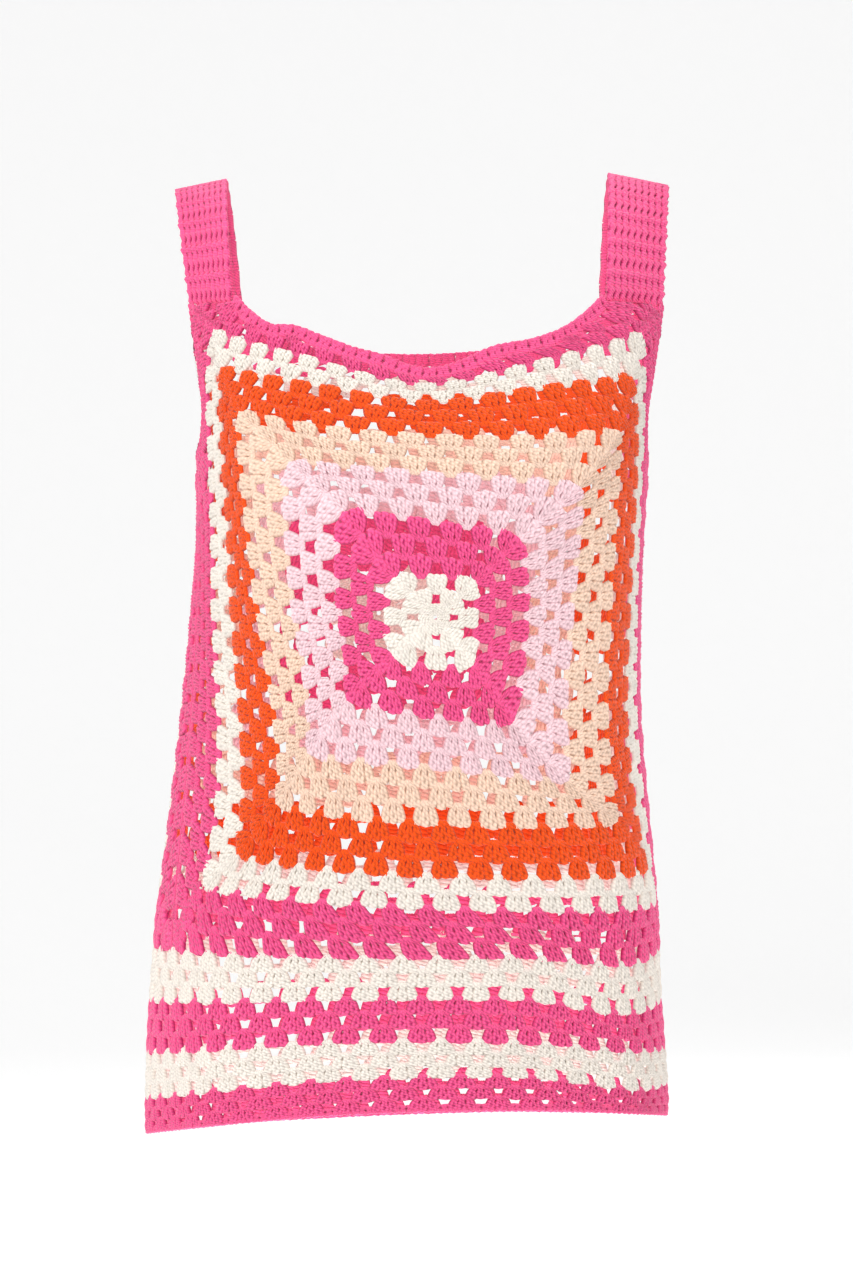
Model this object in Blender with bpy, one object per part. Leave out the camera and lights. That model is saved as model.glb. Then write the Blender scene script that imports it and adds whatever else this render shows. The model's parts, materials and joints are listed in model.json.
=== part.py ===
"""A sleeveless granny-square crochet top, hollow as it is worn, in metres with +Z up.

The front faces -Y. The origin lies midway between the straps, at the height where they rest on the shoulders.
Every piece is a thin wall on one worn form. A place on that form is a turn about the body, in degrees from
straight ahead (positive towards +X), and a height. The two squares are charted in rounds: a place in a
square is its round and its share along one of the four sides.
"""

from collections import namedtuple

import bpy
import numpy as np

MM = 0.001

# Cloth
WALL = 2.5 * MM  # cotton clusters, inside the form's surface
SEAM_GAP = 0.3 * MM
EDGING = 5.0 * MM  # height of the dense row along the neck
ROUNDS = 20  # rounds of one square
INNER_ROUNDS = 17  # rounds inside the last colour, which meets the edges
STRAP_SHARE = 17 / ROUNDS  # share of the top side where a strap's inner edge meets it
UNDERARM_SHARE = 0.5  # share of the left and right sides where the armhole starts

# The worn form: an oval with squarer sides, front and back depths of its own at each height
SQUARENESS = 0.12
Section = namedtuple("Section", "height centre half_width front_depth back_depth")
SECTIONS = (
    Section(-590, -9, 159, 104, 105),
    Section(-555, -9, 159, 104, 105),
    Section(-500, -10, 156, 107, 103),
    Section(-440, -9, 152, 113, 98),
    Section(-385, -8, 146, 119, 94),
    Section(-325, -7, 140, 124, 94),
    Section(-265, -4, 137, 128, 97),
    Section(-210, -1, 136, 127, 98),
    Section(-163, 0, 139, 119, 96),
    Section(-140, 0, 142, 111, 93),
    Section(-117, 0, 146, 103, 88),
    Section(-90, 0, 150, 95, 82),
    Section(-60, 0, 154, 84, 74),
)

# Soft upright ripples that grow towards the hem: how many stand round the body, how deep, where they start
Ripple = namedtuple("Ripple", "count depth start")
RIPPLES = (Ripple(7, 1.6, 40), Ripple(11, 0.9, 200))
RIPPLE_TOP = -400.0
HEM_HEIGHT = -570.0

# The front square: where its corners and the middles of its sides lie after each colour, as (turn, height).
# "upper" is the place halfway up from the middle of a side to its top corner, drawn out by the armholes. A rise
# lifts the top side halfway to its left or right corner.
Lap = namedtuple(
    "Lap",
    "round top_left top top_right right_upper right bottom_right bottom bottom_left left left_upper"
    " left_rise right_rise",
    defaults=(0, 0),
)
FRONT_LAPS = (
    Lap(0, *[(5, -266)] * 10),
    Lap(
        3, (-7.5, -239), (4.8, -240), (16, -242), (16, -254), (16, -266),
        (16.5, -297), (6, -297), (-6, -292), (-8, -265), (-8, -253),
    ),
    Lap(
        6, (-21.5, -200), (3.6, -208), (27, -216), (29, -241.5), (29.7, -265),
        (26.8, -331), (7, -326), (-16.6, -317), (-19.8, -263), (-21.6, -236),
    ),
    Lap(
        9, (-36, -171), (2.6, -180), (44.5, -185), (45, -218), (43.6, -265),
        (42.8, -365), (7.4, -356), (-25.8, -349), (-32.4, -262), (-36.6, -217),
    ),
    Lap(
        12, (-51, -140), (1.9, -158), (58, -151), (60, -198), (58.8, -265),
        (60.5, -390), (8, -388.5), (-33.5, -378), (-44, -261), (-51.3, -198),
    ),
    Lap(
        15, (-55.5, -112.7), (1.2, -138), (60, -117), (71.5, -187), (71, -265),
        (77.5, -421), (8.5, -419), (-44.5, -408.5), (-54, -261), (-60, -187), 5.2, 5.2,
    ),
    Lap(
        17, (-56.5, -89), (0.7, -128), (62, -89.5), (76, -180), (79, -265),
        (85.5, -442), (9, -438), (-56, -427.5), (-63.5, -261), (-69, -180), 8.2, 7,
    ),
)

# The side joins, from the squares' bottom up to the underarm: their turns at a height, seen from in front
Join = namedtuple("Join", "height left right")
JOINS = (
    Join(-466.5, -66, 97),
    Join(-353, -69, 97),
    Join(-262, -74, 93),
    Join(-216, -81, 91),
    Join(-179, -89, 90),
)
UNDERARM = -179.0

# The armholes, from the underarm up to the straps. Each square's sides are named as seen from outside it.
Armhole = namedtuple("Armhole", "height front_left front_right back_left back_right")
ARMHOLES = (
    Armhole(-179, -89, 90, 90, 271),
    Armhole(-165, -77, 80, 100, 259),
    Armhole(-147, -70, 75, 105, 252),
    Armhole(-123, -67.5, 74, 106, 248),
    Armhole(-77, -68, 74.5, 105.5, 247),
)
JOIN_OF = {  # the join under each edge, with the turns to add to reach it from the square's side
    "front_left": ("left", 0),
    "front_right": ("right", 0),
    "back_left": ("right", 0),
    "back_right": ("left", 360),
}
SQUARE_BOTTOM = -466.5
SAG = 7.5  # how far the squares' bottom sags at the right
SAG_TURNS = (20, 97)
SQUARE_TOP = -77.0
SIDE_MARKS = (-1.0, 0.0, UNDERARM_SHARE, 1.0)  # shares along the left and right sides
EDGE_LEVELS = (SQUARE_BOTTOM, -262.0, UNDERARM, SQUARE_TOP)  # heights there

# The back square's middle, as turn and height, and its half sizes
BACK_CENTRE = (190.0, -262.0)
BACK_HALF_TURN = 96.0
BACK_HALF_HEIGHT = 204.5

# Necklines: the rim's height at each turn, and the turns of the straps' inner edges
Neck = namedtuple("Neck", "turn height")
FRONT_NECK = (
    Neck(-49, -72),
    Neck(-44, -83),
    Neck(-38, -91.5),
    Neck(-31, -93),
    Neck(-24, -99.5),
    Neck(-17, -106),
    Neck(-9, -111.5),
    Neck(-3, -117.5),
    Neck(4, -118.5),
    Neck(10, -114),
    Neck(17, -106),
    Neck(27, -101),
    Neck(38, -90),
    Neck(43.5, -80),
    Neck(47, -72),
)
BACK_NECK = (
    Neck(133, -72),
    Neck(140, -83),
    Neck(152, -92),
    Neck(170, -98),
    Neck(188, -99),
    Neck(206, -96),
    Neck(222, -84),
    Neck(228, -72),
)
EDGING_DROP = EDGING / MM + 0.3  # the squares end this far under the rim
EDGING_END_GAP = 0.8  # turn between the edging and a strap, whose wall leans there

# The lower body: how far below the squares each colour ends, in front, at the right, behind and at the left, and
# how far it sags like the squares' bottom
Band = namedtuple("Band", "name colour front right back left sag")
BANDS = (
    Band("hem_cream_upper", "cream", 24, 31, 30, 33, 8.5),
    Band("hem_pink_upper", "hot_pink", 49, 62, 60, 65, 2),
    Band("hem_cream_lower", "cream", 70, 83, 88, 93, 5),
    Band("hem_pink_lower", "hot_pink", 89, 102, 113, 113, 0),
)

# Straps: the height of the strap's inner and outer edge on the shoulder, and their places across
Strap = namedtuple("Strap", "name side inner_top outer_top inner_across outer_across")
STRAPS = (
    Strap("strap_left", "left", 2.0, -4.5, -119, -150.5),
    Strap("strap_right", "right", 5.5, -2.0, 113.5, 150.5),
)
STRAP_BASE = SQUARE_TOP + SEAM_GAP / MM
STRAP_BOW = 1.85  # 2 would be a round arch over the shoulder, 1 a straight ridge

# Cells of the walls
NORMAL_STEP = (0.3, 1.0)  # degrees and millimetres to the neighbours that a surface's slope is read from
INSET_STEP = 0.2  # rounds to the place that a seam's gap is measured towards
CENTRE_GAP = 0.02  # rounds from the centre patch's rim to the end of its last round
CENTRE_CELLS = 6
INNER_STOPS = {
    side: ((-1.0, 1), (-STRAP_SHARE, 9), (STRAP_SHARE, 1)) for side in ("top", "right", "bottom", "left")
}
OUTER_STOPS = {  # a side's stops, as shares of it, with the cells from each stop to the next
    "top": ((-1.0, 1), (-STRAP_SHARE, 22), (STRAP_SHARE, 1)),
    "right": ((-1.0, 1), (-STRAP_SHARE, 8), (UNDERARM_SHARE, 4), (STRAP_SHARE, 2)),
    "bottom": ((-1.0, 2), (-STRAP_SHARE, 20), (STRAP_SHARE, 2)),
    "left": ((-1.0, 1), (-STRAP_SHARE, 8), (UNDERARM_SHARE, 4), (STRAP_SHARE, 2)),
}
OUTER_FROM = 9  # the round from which colours have the outer stops
BAND_CELLS = 66
STRAP_CELLS = 26
STRAP_CELLS_ACROSS = 3

COLOURS = {
    "cream": (0.95, 0.92, 0.80),
    "hot_pink": (0.93, 0.07, 0.30),
    "pale_pink": (0.98, 0.60, 0.72),
    "peach": (0.98, 0.65, 0.42),
    "orange": (0.95, 0.11, 0.01),
}

# The colours of a square from its centre, with the round where each one ends
SQUARE_COLOURS = (
    ("cream_centre", "cream", 3),
    ("pink_inner", "hot_pink", 6),
    ("pale_pink", "pale_pink", 9),
    ("peach", "peach", 12),
    ("orange", "orange", 15),
    ("cream_outer", "cream", 17),
    ("pink_border", "hot_pink", ROUNDS),
)


def smooth_curve(at, keys, values):
    """A smooth curve through values given at rising keys, with each slope taken from the neighbours."""
    keys = np.asarray(keys, float)
    values = np.asarray(values, float)
    slopes = np.gradient(values, keys)
    at = np.clip(at, keys[0], keys[-1])
    place = np.clip(np.searchsorted(keys, at, side="right") - 1, 0, len(keys) - 2)
    width = keys[place + 1] - keys[place]
    t = (at - keys[place]) / width
    start = (1 + 2 * t) * (1 - t) ** 2 * values[place] + t * (1 - t) ** 2 * width * slopes[place]
    end = t * t * (3 - 2 * t) * values[place + 1] + t * t * (t - 1) * width * slopes[place + 1]
    return start + end


def column(table, name):
    """One named column of a table."""
    return np.array([getattr(row, name) for row in table], float)


def form_point(turn, height):
    """The form's surface at turns in degrees and heights in millimetres."""
    keys = column(SECTIONS, "height")
    centre, half_width, front, back = (
        smooth_curve(height, keys, column(SECTIONS, name))
        for name in ("centre", "half_width", "front_depth", "back_depth")
    )
    angle = np.radians(turn)
    sine, cosine = np.sin(angle), np.cos(angle)
    grown = np.clip((RIPPLE_TOP - height) / (RIPPLE_TOP - HEM_HEIGHT), 0, 1) ** 2
    ripple = sum(r.depth * np.sin(r.count * angle + np.radians(r.start)) for r in RIPPLES) * grown
    depth = np.where(cosine > 0, front, back)
    x = centre + (half_width + ripple) * sine
    y = -(depth + ripple) * cosine * (1 + SQUARENESS * sine**2)
    return np.stack([x, y, height + 0 * x], axis=-1) * MM


def across(first, second):
    """Unit vectors square to two directions."""
    normal = np.cross(first, second)
    return normal / np.linalg.norm(normal, axis=-1, keepdims=True)


def form_normal(turn, height):
    """Unit vectors that point out of the form."""
    aside, up = NORMAL_STEP
    sideways = form_point(turn + aside, height) - form_point(turn - aside, height)
    upwards = form_point(turn, height + up) - form_point(turn, height - up)
    return across(sideways, upwards)


def rim_height(turn, neck):
    """Height of a neckline's rim, level beyond the straps' inner edges."""
    return smooth_curve(turn, column(neck, "turn"), column(neck, "height"))


def through_places(share, values):
    """The polynomial through the values at the marks along a side."""
    total = 0
    for mark, value in zip(SIDE_MARKS, values):
        weight = 1
        for other in SIDE_MARKS:
            if other != mark:
                weight = weight * (share - other) / (mark - other)
        total = total + weight * value
    return total


def edge_level(share):
    """Height of a square's side edge at a share of its length."""
    return through_places(share, EDGE_LEVELS)


def edge_turn(height, name):
    """Turn of a named side edge at a height: a side join, with an armhole above it."""
    join, whole_turn = JOIN_OF[name]
    low = smooth_curve(height, column(JOINS, "height"), column(JOINS, join)) + whole_turn
    high = smooth_curve(height, column(ARMHOLES, "height"), column(ARMHOLES, name))
    return np.where(height < UNDERARM, low, high)


def sag_share(turn):
    """How much of its sag a level has at a turn: the whole midway between the sag's ends."""
    first, last = SAG_TURNS
    return np.sin(np.pi * np.clip((turn - first) / (last - first), 0, 1)) ** 2


def square_edge(side, share, neck, square):
    """Turn and height of the outer edge of the front or back square."""
    if side == "left" or side == "right":
        height = edge_level(share)
        return edge_turn(height, f"{square}_{side}"), height
    end_share = 1.0 if side == "top" else -1.0
    start, end = (square_edge(name, end_share, neck, square)[0] for name in ("left", "right"))
    if side == "bottom":
        turn = start + (end - start) * (share + 1) / 2
        return turn, SQUARE_BOTTOM - SAG * sag_share(turn)
    turn = np.interp(share, [-1, -STRAP_SHARE, STRAP_SHARE, 1], [start, neck[0].turn, neck[-1].turn, end])
    return turn, rim_height(turn, neck) - EDGING_DROP


def front_lap(side, share, ring):
    """Turn and height on the front square inside its last colour."""
    rounds = column(FRONT_LAPS, "round")

    def landmark(name):
        places = np.array([getattr(lap, name) for lap in FRONT_LAPS], float)
        return [smooth_curve(ring, rounds, places[:, k]) for k in (0, 1)]

    if side == "left" or side == "right":
        marks = [landmark(name) for name in ("bottom_" + side, side, side + "_upper", "top_" + side)]
        return tuple(through_places(share, [mark[k] for mark in marks]) for k in (0, 1))
    start, middle, end = landmark(side + "_left"), landmark(side), landmark(side + "_right")
    turn, height = (
        middle[k] + (end[k] - start[k]) / 2 * share + ((start[k] + end[k]) / 2 - middle[k]) * share**2
        for k in (0, 1)
    )
    if side == "top":
        rises = [smooth_curve(ring, rounds, column(FRONT_LAPS, name)) for name in ("left_rise", "right_rise")]
        height = height + np.where(share < 0, *rises) * 16 * share**2 * (1 - np.abs(share)) ** 2
    return turn, height


def front_place(side, share, ring):
    """Turn and height of a place on the front square."""
    outer = np.clip((ring - INNER_ROUNDS) / (ROUNDS - INNER_ROUNDS), 0, None)
    inner = front_lap(side, share, np.minimum(ring, INNER_ROUNDS))
    edge = square_edge(side, share, FRONT_NECK, "front")
    return tuple(inner[k] * (1 - outer) + edge[k] * outer for k in (0, 1))


def back_place(side, share, ring):
    """Turn and height of a place on the back square, whose rounds grow evenly from a plain square."""
    over = {"left": -1.0, "right": 1.0}.get(side, share)
    up = {"bottom": -1.0, "top": 1.0}.get(side, share)
    plain = (BACK_HALF_TURN * over, BACK_HALF_HEIGHT * up)
    edge = square_edge(side, share, BACK_NECK, "back")
    size = ring / ROUNDS
    return tuple(
        centre + size * (flat * (1 - size**3) + (rim - centre) * size**3)
        for centre, flat, rim in zip(BACK_CENTRE, plain, edge)
    )


def side_shares(stops):
    """Shares along one side, from its stops."""
    ends = [stop for stop, _ in stops[1:]] + [1.0]
    runs = [np.linspace(start, end, cells, endpoint=False) for (start, cells), end in zip(stops, ends)]
    return np.concatenate([*runs, [1.0]])


def lap_path(all_stops):
    """The sides and shares once round a square, clockwise from its top left corner."""
    for side, stops in all_stops.items():
        shares = side_shares(stops)
        yield side, shares[:-1] if side in ("top", "left") else shares[:0:-1]


def lap_points(place, ring, all_stops, inset):
    """Surface places once round a square at one round, moved in by inset millimetres."""
    turns, heights = [], []
    for side, share in lap_path(all_stops):
        here = np.stack(place(side, share, ring), axis=-1)
        near = np.stack(place(side, share, ring - INSET_STEP), axis=-1)
        length = np.linalg.norm(form_point(*here.T) - form_point(*near.T), axis=-1) / MM
        moved = here + (near - here) * (inset / length)[:, None]
        turns.append(moved[:, 0])
        heights.append(moved[:, 1])
    return np.concatenate(turns), np.concatenate(heights)


def add_piece(name, colour, outer, normals, around):
    """A closed wall under a grid of outer points. around says whether the grid's rows close into a ring."""
    rows, lanes = outer.shape[:2]
    points = np.concatenate([outer.reshape(-1, 3), (outer - normals * WALL).reshape(-1, 3)])
    under = rows * lanes
    faces = []
    for i in range(rows if around else rows - 1):
        after = (i + 1) % rows
        for j in range(lanes - 1):
            quad = [i * lanes + j, after * lanes + j, after * lanes + j + 1, i * lanes + j + 1]
            faces.append(quad)
            faces.append([under + k for k in reversed(quad)])
        low, high = [i * lanes, after * lanes], [i * lanes + lanes - 1, after * lanes + lanes - 1]
        faces.append([low[1], low[0], under + low[0], under + low[1]])
        faces.append([high[0], high[1], under + high[1], under + high[0]])
    if not around:
        for j in range(lanes - 1):
            last = (rows - 1) * lanes + j
            faces.append([j, j + 1, under + j + 1, under + j])
            faces.append([last + 1, last, under + last, under + last + 1])
    mesh = bpy.data.meshes.new(name)
    mesh.from_pydata(points.tolist(), [], faces)
    mesh.validate()
    mesh.shade_smooth()
    mesh.set_sharp_from_angle(angle=np.radians(50))
    mesh.materials.append(bpy.data.materials[colour])
    piece = bpy.data.objects.new(name, mesh)
    bpy.context.scene.collection.objects.link(piece)
    return piece


def on_form(name, colour, turns, heights, around):
    """A wall whose outer face lies on the form."""
    return add_piece(name, colour, form_point(turns, heights), form_normal(turns, heights), around)


def add_materials():
    """One cotton material for each colour of yarn."""
    for name, colour in COLOURS.items():
        material = bpy.data.materials.new(name)
        material.use_nodes = True
        shader = material.node_tree.nodes["Principled BSDF"]
        shader.inputs["Base Color"].default_value = (*colour, 1)
        shader.inputs["Roughness"].default_value = 0.9
        shader.inputs["Metallic"].default_value = 0


def add_centre(name, colour, place, last):
    """The patch in the middle of a square."""
    steps = np.linspace(-1, 1, CENTRE_CELLS + 1)
    turns, heights = np.zeros((2, len(steps), len(steps)))
    for i, across_share in enumerate(steps):
        for j, up_share in enumerate(steps):
            ring = max(abs(across_share), abs(up_share))
            side = "top" if up_share == ring else "bottom" if up_share == -ring else "right"
            if abs(across_share) > abs(up_share):
                side = "right" if across_share > 0 else "left"
            share = (across_share if side in ("top", "bottom") else up_share) / max(ring, CENTRE_GAP)
            turns[i, j], heights[i, j] = place(side, share, ring * (last - CENTRE_GAP))
    return on_form(name, colour, turns, heights, around=False)


def add_square(prefix, place):
    """One granny square, a piece for each colour."""
    first = 0
    for name, colour, last in SQUARE_COLOURS:
        if first == 0:
            add_centre(prefix + name, colour, place, last)
        else:
            all_stops = OUTER_STOPS if first >= OUTER_FROM else INNER_STOPS
            half_gap = SEAM_GAP / MM / 2
            insets = [(first, -half_gap), ((first + last) / 2, 0.0), (last, half_gap)]
            if last - first < 3:
                del insets[1]
            laps = [lap_points(place, ring, all_stops, inset) for ring, inset in insets]
            turns, heights = (np.stack([lap[k] for lap in laps], axis=1) for k in (0, 1))
            on_form(prefix + name, colour, turns, heights, around=True)
        first = last


def band_drop(band, turn):
    """How far below the squares a band ends, smooth round the body."""
    angle = np.radians(turn)
    return (
        (band.front + band.right + band.back + band.left) / 4
        + (band.front - band.back) / 2 * np.cos(angle)
        + (band.right - band.left) / 2 * np.sin(angle)
        + (band.front + band.back - band.right - band.left) / 4 * np.cos(2 * angle)
        + band.sag * sag_share(turn)
    )


def add_bands():
    """The lower body, worked round and round in four colours."""
    turn = np.arange(BAND_CELLS) * 360.0 / BAND_CELLS
    above = SAG * sag_share(turn)
    for band in BANDS:
        below = band_drop(band, turn)
        edges = (below - SEAM_GAP / MM / 2, (above + below) / 2, above + SEAM_GAP / MM / 2)
        heights = np.stack([SQUARE_BOTTOM - edge for edge in edges], axis=1)
        turns = np.repeat(turn[:, None], len(edges), axis=1)
        on_form(band.name, band.colour, turns, heights, around=True)
        above = below


def strap_edge(front_base, back_base, top, top_across, share):
    """An arch over the shoulder from a front base point to a back one, at shares from 0 to 1."""
    angle = np.pi * share
    bend = 2 / STRAP_BOW
    rise = np.sin(angle) ** bend
    forward = np.abs(np.cos(angle)) ** bend
    base = np.where((share < 0.5)[:, None], front_base, back_base)
    crown = np.array([top_across * MM, 0.0, top * MM])
    x = base[:, 0] + (crown[0] - base[:, 0]) * rise
    y = base[:, 1] * forward
    z = base[:, 2] + (crown[2] - base[:, 2]) * rise
    return np.stack([x, y, z], axis=-1)


def add_strap(strap):
    """A strap of dense rows between the front and back corners of the squares."""
    behind, first, last = ("right", 0, -1) if strap.side == "left" else ("left", -1, 0)
    inner_turn = FRONT_NECK[first].turn
    back_inner_turn = BACK_NECK[last].turn
    outer_turn = edge_turn(SQUARE_TOP, "front_" + strap.side)
    back_outer_turn = edge_turn(SQUARE_TOP, "back_" + behind)
    share = np.linspace(0, 1, STRAP_CELLS + 1)
    inner = strap_edge(
        form_point(inner_turn, STRAP_BASE),
        form_point(back_inner_turn, STRAP_BASE),
        strap.inner_top,
        strap.inner_across,
        share,
    )
    outer = strap_edge(
        form_point(outer_turn, STRAP_BASE),
        form_point(back_outer_turn, STRAP_BASE),
        strap.outer_top,
        strap.outer_across,
        share,
    )
    lanes = np.linspace(0, 1, STRAP_CELLS_ACROSS + 1)[None, :, None]
    low, high = (inner, outer) if strap.side == "left" else (outer, inner)
    grid = low[:, None] * (1 - lanes) + high[:, None] * lanes
    normals = across(np.gradient(grid, axis=0), np.gradient(grid, axis=1))
    return add_piece(strap.name, "hot_pink", grid, normals, around=False)


def add_edging(name, neck):
    """The dense row along a neckline, between the straps."""
    share = side_shares(OUTER_STOPS["top"])[1:-1]
    turn = np.interp(share, [-STRAP_SHARE, STRAP_SHARE], [neck[0].turn, neck[-1].turn])
    turn[[0, -1]] += np.array([1, -1]) * EDGING_END_GAP
    rim = rim_height(turn, neck)
    turns = np.repeat(turn[:, None], 2, axis=1)
    heights = np.stack([rim - EDGING / MM, rim], axis=1)
    return on_form(name, "hot_pink", turns, heights, around=False)


def main():
    """Builds the whole top."""
    for old in list(bpy.data.objects):
        bpy.data.objects.remove(old, do_unlink=True)
    add_materials()
    add_square("front_", front_place)
    add_square("back_", back_place)
    add_bands()
    for strap in STRAPS:
        add_strap(strap)
    add_edging("neck_edging_front", FRONT_NECK)
    add_edging("neck_edging_back", BACK_NECK)


main()
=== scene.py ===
"""Looks of a sleeveless granny-square crochet top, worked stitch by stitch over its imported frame.

Every stitch is real yarn. A square or band is first laid out flat, in its chart: Geometry Nodes put a treble
stitch on each point of the chart. The flat work is then wrapped onto the worn form, where the frame's walls
are. Charts are counted in rounds and stitches, the form in turns about the body (degrees) and heights
(millimetres).
"""

import json
import logging
import math
from dataclasses import dataclass
from enum import Enum
from typing import Iterable, Iterator, NamedTuple

import bmesh
import bpy
import numpy as np
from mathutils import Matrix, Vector

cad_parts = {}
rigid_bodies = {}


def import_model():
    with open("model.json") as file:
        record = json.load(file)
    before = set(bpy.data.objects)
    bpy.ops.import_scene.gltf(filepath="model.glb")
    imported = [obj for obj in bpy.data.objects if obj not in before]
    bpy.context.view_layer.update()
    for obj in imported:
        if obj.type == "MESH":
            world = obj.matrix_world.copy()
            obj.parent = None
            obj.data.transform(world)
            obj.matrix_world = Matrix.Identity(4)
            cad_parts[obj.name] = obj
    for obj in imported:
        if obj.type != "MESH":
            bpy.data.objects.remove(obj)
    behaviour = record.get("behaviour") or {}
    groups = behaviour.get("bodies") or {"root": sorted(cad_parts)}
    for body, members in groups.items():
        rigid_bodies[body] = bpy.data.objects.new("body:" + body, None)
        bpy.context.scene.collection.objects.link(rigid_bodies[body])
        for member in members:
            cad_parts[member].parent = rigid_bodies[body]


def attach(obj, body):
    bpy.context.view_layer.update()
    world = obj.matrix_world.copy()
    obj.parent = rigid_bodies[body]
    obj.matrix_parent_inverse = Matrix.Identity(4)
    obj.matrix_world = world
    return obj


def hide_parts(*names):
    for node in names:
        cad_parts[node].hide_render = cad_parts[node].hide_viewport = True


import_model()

LOG = logging.getLogger("crochet_top")
MM = 0.001
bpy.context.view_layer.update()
STRAND_UV = "strand"
SHADE = "shade"
# The attribute of painted shade: how far each point of a stitch lies down between strands, which darkens the
# dye there as shade.
HOLLOW_SHADE = "hollow"
BACK_HOLLOW_SHADE = 0.2  # how much painted shade a post's back, foot and head get, from 0 to 1
YARN_LIFT = -1.2  # where the yarn's middle lies, in millimetres off the form
TINY = 1e-6  # of a round or a millimetre, too little to see
LEAST_NORM = 1e-12  # keeps a direction without length from being divided by 0

Array = np.ndarray
Places = tuple[Array, Array]  # turns and heights


class Yarn(Enum):
    """The five colours of cotton, each of which names its yarn's material."""

    CREAM = "cream"
    HOT_PINK = "hot_pink"
    PALE_PINK = "pale_pink"
    PEACH = "peach"
    ORANGE = "orange"


class Side(Enum):
    """The four sides of a square, as seen from outside it."""

    TOP = "top"
    RIGHT = "right"
    BOTTOM = "bottom"
    LEFT = "left"

    @property
    def level(self) -> bool:
        """Whether the side runs across rather than up."""
        return self in (Side.TOP, Side.BOTTOM)


SIDE_TURN = {Side.TOP: 0.0, Side.RIGHT: -math.pi / 2, Side.BOTTOM: math.pi, Side.LEFT: math.pi / 2}

# ---------------------------------------------------------------- curves and the worn form


def smooth_curve(at: Array, keys: Array, values: Array) -> Array:
    """Reads a smooth curve through values given at rising keys.

    Args:
        at: where to read it.
        keys: rising places.
        values: the value at each key.

    Returns:
        The curve's values, with each slope taken from the neighbouring keys.
    """
    keys, values = np.asarray(keys, float), np.asarray(values, float)
    slopes = np.gradient(values, keys)
    at = np.clip(at, keys[0], keys[-1])
    place = np.clip(np.searchsorted(keys, at, side="right") - 1, 0, len(keys) - 2)
    width = keys[place + 1] - keys[place]
    t = (at - keys[place]) / width
    start = (1 + 2 * t) * (1 - t) ** 2 * values[place] + t * (1 - t) ** 2 * width * slopes[place]
    end = t * t * (3 - 2 * t) * values[place + 1] + t * t * (t - 1) * width * slopes[place + 1]
    return start + end


def column(table: tuple, name: str) -> Array:
    """One named column of a table."""
    return np.array([getattr(row, name) for row in table], float)


def read_column(table: tuple, at: Array, name: str) -> Array:
    """Reads a named column as a smooth curve over the table's first column."""
    return smooth_curve(at, column(table, table[0]._fields[0]), column(table, name))


def rows_of(kind: type, *rows: tuple) -> tuple:
    """A table whose rows are all of one kind."""
    return tuple(kind(*row) for row in rows)


def across(first: Array, second: Array) -> Array:
    """Unit vectors square to two directions."""
    normal = np.cross(first, second)
    return normal / np.maximum(np.linalg.norm(normal, axis=-1, keepdims=True), LEAST_NORM)


class Section(NamedTuple):
    """One level of the worn form, in millimetres."""

    height: float
    centre: float
    half_width: float
    front_depth: float
    back_depth: float


class Ripple(NamedTuple):
    """Upright waves round the body: how many, how deep in millimetres, and where they start."""

    count: int
    depth: float
    start: float


@dataclass(frozen=True)
class WornForm:
    """The oval form that the cloth lies on, with squarer sides and soft ripples that grow towards the hem."""

    squareness: float = 0.12
    ripple_top: float = -400.0
    hem_height: float = -570.0
    turn_step: float = 0.3  # how far to each side the form's slopes are read
    height_step: float = 1.0
    ripples: tuple[Ripple, ...] = (Ripple(7, 1.6, 40), Ripple(11, 0.9, 200))
    sections: tuple[Section, ...] = rows_of(
        Section,
        (-590, -9, 159, 104, 105), (-555, -9, 159, 104, 105), (-500, -10, 156, 107, 103),
        (-440, -9, 152, 113, 98), (-385, -8, 146, 119, 94), (-325, -7, 140, 124, 94),
        (-265, -4, 137, 128, 97), (-210, -1, 136, 127, 98), (-163, 0, 139, 119, 96),
        (-140, 0, 142, 111, 93), (-117, 0, 146, 103, 88), (-90, 0, 150, 95, 82), (-60, 0, 154, 84, 74),
    )

    def point(self, turn: Array, height: Array) -> Array:
        """The form's surface at turns in degrees and heights in millimetres, in metres."""
        centre, half_width, front, back = (
            read_column(self.sections, height, name)
            for name in ("centre", "half_width", "front_depth", "back_depth")
        )
        angle = np.radians(turn)
        sine, cosine = np.sin(angle), np.cos(angle)
        grown = np.clip((self.ripple_top - height) / (self.ripple_top - self.hem_height), 0, 1) ** 2
        waves = (r.depth * np.sin(r.count * angle + math.radians(r.start)) for r in self.ripples)
        ripple = sum(waves) * grown
        x = centre + (half_width + ripple) * sine
        y = -(np.where(cosine > 0, front, back) + ripple) * cosine * (1 + self.squareness * sine**2)
        return np.stack([x, y, height + 0 * x], axis=-1) * MM

    def normal(self, turn: Array, height: Array) -> Array:
        """Unit vectors out of the form."""
        wide, high = self.turn_step, self.height_step
        sideways = self.point(turn + wide, height) - self.point(turn - wide, height)
        upwards = self.point(turn, height + high) - self.point(turn, height - high)
        return across(sideways, upwards)

    def lifted(self, turn: Array, height: Array, lift: Array) -> Array:
        """Points that stand lift millimetres off the form."""
        return self.point(turn, height) + self.normal(turn, height) * (lift * MM)[..., None]


FORM = WornForm()

# ---------------------------------------------------------------- the squares' charts


class Join(NamedTuple):
    """Where the side joins run: the turn of each at a height."""

    height: float
    left: float
    right: float


class Armhole(NamedTuple):
    """Where the armholes run. Each square's sides are named as seen from outside it."""

    height: float
    front_left: float
    front_right: float
    back_left: float
    back_right: float


class Neck(NamedTuple):
    """The height of a neckline's rim at a turn."""

    turn: float
    height: float


class Lap(NamedTuple):
    """Where a round's corners and the middles of its sides lie, as (turn, height).

    A rise lifts the top side halfway to its left or right corner.
    """

    round: float
    top_left: tuple[float, float]
    top: tuple[float, float]
    top_right: tuple[float, float]
    right_upper: tuple[float, float]
    right: tuple[float, float]
    bottom_right: tuple[float, float]
    bottom: tuple[float, float]
    bottom_left: tuple[float, float]
    left: tuple[float, float]
    left_upper: tuple[float, float]
    left_rise: float = 0.0
    right_rise: float = 0.0


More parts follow.
